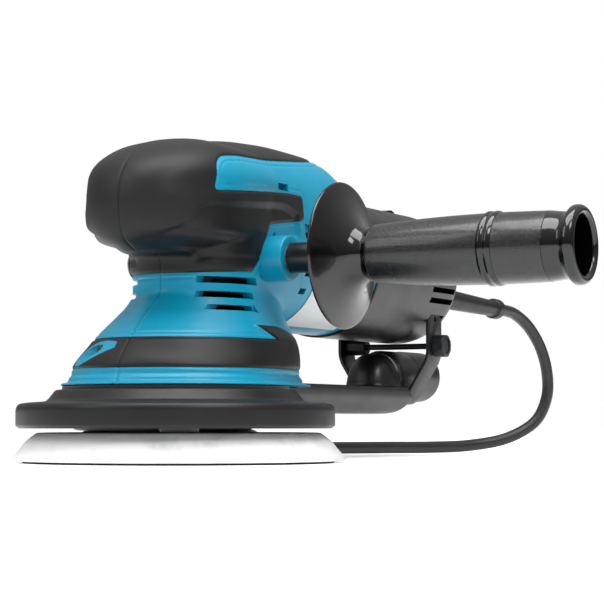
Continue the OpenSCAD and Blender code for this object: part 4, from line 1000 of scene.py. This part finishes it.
rear_cuts.append(box_mesh("dial_way", (-219 - 9.3, -3.5, MOTOR_Z + 20), (-219 + 9.3, 3.5, MOTOR_Z + 50)))
for s in (1, -1):
    near, far = sorted((s * 24, s * 38))
    for z in (-8, -13.7, 10, 15.7):
        slot_outline = [[REAR_BACK + 10, MOTOR_Z + z - 1.45], [REAR_BACK + 39, MOTOR_Z + z - 1.45],
                        [REAR_BACK + 38.4, MOTOR_Z + z + 1.45], [REAR_BACK + 9.4, MOTOR_Z + z + 1.45]]
        rear_cuts.append(prism("cooling_slot", slot_outline, near, far))
    arm = sorted((s * 25.8, s * 37.8))
    rear_cuts.append(box_mesh("arm_way", (STRAP_X - 8.8, arm[0], MOTOR_Z - 37), (STRAP_X + 8.8, arm[1], MOTOR_Z - 21)))
cut(rear_cover, rear_cuts)
soften_edges(rear_cover)
mount_on(rear_cover, "tool", "black_plastic", "rear_housing")

# %% [markdown]
# ## Dust nozzle
# The nozzle is a blow-moulded duct: a flat channel with a dome at its far end, where the air turns
# into a round outlet. The channel is where a side outline and an end outline, both pushed straight
# through, overlap, and the dome is a stack of level ovals. Remeshing them with small voxels and
# easing the result rounds every edge, as blow moulding does; then the inside is taken out with the
# same shapes, set in by the wall.

# %% Nozzle
DUCT_Z, DUCT_TOP, HUMP_Z, NOZZLE_FRONT, NOZZLE_BACK = 23.0, 37.5, 56.0, -62.6, -214.0
OUTLET_Z, OUTLET_X, OUTLET_R, DOME_X = 44.0, -260.0, 14.0, -203.0


def duct(name, wall, ahead=0.0):
    """The duct's solid, set in by a wall: the side outline's prism trimmed by the end outline's,
    joined to a dome over the outlet's front, whose level rings shrink as (1 - u^2.6)^(1/2.6)."""
    side = np.array([[NOZZLE_FRONT + ahead, DUCT_Z], [NOZZLE_FRONT + ahead, DUCT_TOP], [NOZZLE_BACK + 4, DUCT_TOP],
                     [NOZZLE_BACK, DUCT_TOP - 5], [NOZZLE_BACK, DUCT_Z + 8], [NOZZLE_BACK + 7, DUCT_Z + 2],
                     [NOZZLE_BACK + 16, DUCT_Z]])
    half = np.array([[13, DUCT_Z], [18, DUCT_Z + 6.5], [18, DUCT_TOP - 1.0], [17, DUCT_TOP]])
    across = np.concatenate([half, half[::-1] * [-1, 1]])
    side = rounded(side, [0.5, 0.5, 3, 4, 5, 4, 5], 7)
    across = rounded(across, [4, 3.4, 0.4, 0.4] + [0.4, 0.4, 3.4, 4], 6)
    solid = prism(name, outward(side, -wall), -60, 60)
    cut(solid, prism("across", outward(across, -wall), -400, 100, "x"), "INTERSECT")
    u = np.linspace(0, 0.999, 60)
    shrink = (1 - u ** 2.6) ** (1 / 2.6)
    one = np.ones(len(u))
    z = DUCT_Z + 6 + (HUMP_Z - wall - DUCT_Z - 6) * u
    dome = level_ovals(z, DOME_X * one, DOME_X + (16 - wall) * shrink, DOME_X - (11 - wall) * shrink,
                       (14.4 - wall) * shrink, 2.5 * one, 2.5 * one, 0, 120)
    return cut(solid, skin("dome", dome), "UNION")


nozzle = duct("nozzle_shown", 0)
cut(nozzle, rod("pipe", OUTLET_R - 0.3, OUTLET_X + 1, NOZZLE_BACK + 5, "x", (0, 0, OUTLET_Z), 96), "UNION")
cut(nozzle, rod("cuff_way", OUTLET_R, OUTLET_X, OUTLET_X + 27, "x", (0, 0, OUTLET_Z), 96, 0.4), "UNION")
grain = nozzle.modifiers.new("even", "REMESH")
grain.mode, grain.voxel_size = "VOXEL", 0.7 * MM
ease = nozzle.modifiers.new("ease", "SMOOTH")
ease.factor, ease.iterations = 0.5, 6
settle(nozzle)
cut(nozzle, [duct("inside", 2.0, ahead=2.2), rod("bore", OUTLET_R - 2, OUTLET_X - 1, NOZZLE_BACK + 12, "x", (0, 0, OUTLET_Z), 96),
             box_mesh("mouth", (NOZZLE_FRONT - 4, -16, DUCT_Z + 2), (NOZZLE_FRONT + 6, 16, DUCT_TOP - 2))])
soften_edges(nozzle)
mount_on(nozzle, "tool", "black_plastic", "dust_nozzle")

# %% [markdown]
# ## Strap and its bolt
# A band of painted steel, bent round the nozzle and screwed to the rear cover, holds the duct up.
# Its outline is one bent line given a thickness to both sides, pushed along X. A bevel takes the
# sharpness off, because paint always looks rounded at an edge.

# %% Strap, bolt, nut and washer
ARM_Y, STRAP_T = 26.0, 1.6
PIPE_LOW = OUTLET_Z - OUTLET_R


def bevelled(piece, width, segments=2, angle=30):
    """Eases a piece's sharp edges by a width in millimetres."""
    bevel = piece.modifiers.new("ease", "BEVEL")
    bevel.width, bevel.segments, bevel.angle_limit = width * MM, segments, np.radians(angle)
    bevel.limit_method, bevel.use_clamp_overlap = "ANGLE", True
    settle(piece)
    return soften_edges(piece, 40)


def bent(points, thick, ease):
    """An open line through bends, as (y, z), with each bend eased, and its outline at a thickness."""
    inner = np.asarray(points, float)
    line = rounded(inner, [0.1] + [ease] * (len(inner) - 2) + [0.1], 7)
    line = line[3:-3]
    along = np.gradient(line, axis=0)
    along /= np.maximum(np.linalg.norm(along, axis=1), 1e-9)[:, None]
    normal = np.stack([-along[:, 1], along[:, 0]], 1)
    return np.concatenate([line, (line - thick * normal)[::-1]])


band_line = [[-ARM_Y, MOTOR_Z - 21.2], [-ARM_Y, OUTLET_Z + 10], [-11, PIPE_LOW - 0.25], [11, PIPE_LOW - 0.25],
             [ARM_Y, OUTLET_Z + 10], [ARM_Y, MOTOR_Z - 21.2]]
strap = prism("strap_shown", bent(band_line, STRAP_T, 4.0), STRAP_X - STRAP_W / 2, STRAP_X + STRAP_W / 2, "x")
BOLT_Z = 60.1
cut(strap, [rod("bolt_way", 1.75, -50, 50, "y", (STRAP_X, 0, BOLT_Z)), rod("screw_way", 1.53, -50, 50, "y", (STRAP_X, 0, MOTOR_Z - 23))])
bevelled(strap, 0.25)
mount_on(strap, "tool", "black_steel", "nozzle_strap")


def ngon(name, corners, radius, low, high, spot, ease, turn=0.0):
    """A prism with a regular outline, along Y, with eased corners and rims."""
    a = np.linspace(0, 2 * np.pi, corners, endpoint=False) + np.radians(turn)
    outline = rounded(np.stack([spot[0] + radius * np.cos(a), spot[1] + radius * np.sin(a)], 1), ease, 4)
    return bevelled(prism(name, outline, low, high), ease * 0.6, 3)


bolt_head = ngon("strap_bolt_head", 8, 6.5, 28.0, 34.6, (STRAP_X, BOLT_Z), 1.0, 22.5)
cut(bolt_head, [rod("bolt_dish", 4.3, 34.0, 36, "y", (STRAP_X, 0, BOLT_Z), 64)])
soften_edges(bolt_head, 40)
mount_on(bolt_head, "tool", "black_steel", "strap_bolt")
bolt_shank = rod("strap_bolt_shank", 1.6, -24.9, 28.2, "y", (STRAP_X, 0, BOLT_Z), 48, 0.3)
mount_on(soften_edges(bolt_shank), "tool", "black_steel", "strap_bolt")
nut = ngon("strap_nut_shown", 8, 4.7, -25.9, -14.0, (STRAP_X, BOLT_Z), 0.5, 22.5)
cut(nut, rod("nut_way", 1.65, -40, 0, "y", (STRAP_X, 0, BOLT_Z)))
soften_edges(nut, 40)
mount_on(nut, "tool", "bright_steel", "strap_nut", finish=FINISH["black_steel"])

# %% [markdown]
# ## Small fittings
# Screws, the switch, the speed dial and the blank plate are small, but they are what the eye looks
# for up close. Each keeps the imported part's own shape: its mesh is copied, joined at the corners
# and given a fine bevel, because no moulded or turned edge is perfectly sharp.

# %% Switch, dial, plate and screws
FITTINGS = {"switch_slider": ("switch_shown", "switch_slider", 0.25, "black_plastic"),
            "speed_dial": ("dial_shown", "speed_dial", 0.15, "black_plastic"),
            "rating_plate": ("plate_shown", "tool", 0.1, "plate_silver"),
            "rear_screws": ("rear_screws_shown", "tool", 0.3, "bright_steel"),
            "strap_washer": ("washer_shown", "tool", 0.2, "bright_steel")}
for node, (name, body, width, slot) in FITTINGS.items():
    piece = copy_of(frame["nodes"][node], name)
    weld(piece, 1e-5)
    bevelled(piece, width, 2, 40)
    mount_on(piece, body, slot, node)

screw_heads = copy_of(frame["nodes"]["body_screws"], "body_screws_shown")
weld(screw_heads, 1e-5)
bevelled(screw_heads, 0.2, 2, 40)
mount_on(screw_heads, "tool", "bright_steel", "body_screws", finish=FINISH["black_steel"])

# %% [markdown]
# ## Everything inside
# The gears, bearings, motor and brushes are seen only through the vents, so they keep the packed
# meshes and take a finish from their slot in the record: steel, cast alloy, enamelled copper,
# carbon or plastic.

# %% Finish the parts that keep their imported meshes
slot_of = {part["node"]: part["material_slot"] for part in frame["record"]["subparts"]}
inside = [name for name, node in frame["nodes"].items() if not node.hide_render]
for name in inside:
    node = frame["nodes"][name]
    wear(node, FINISH[slot_of[name]])
print(len(inside), "packed parts finished:", ", ".join(sorted(inside)))

# %% [markdown]
# ## Last cell

# %% Last import
import json
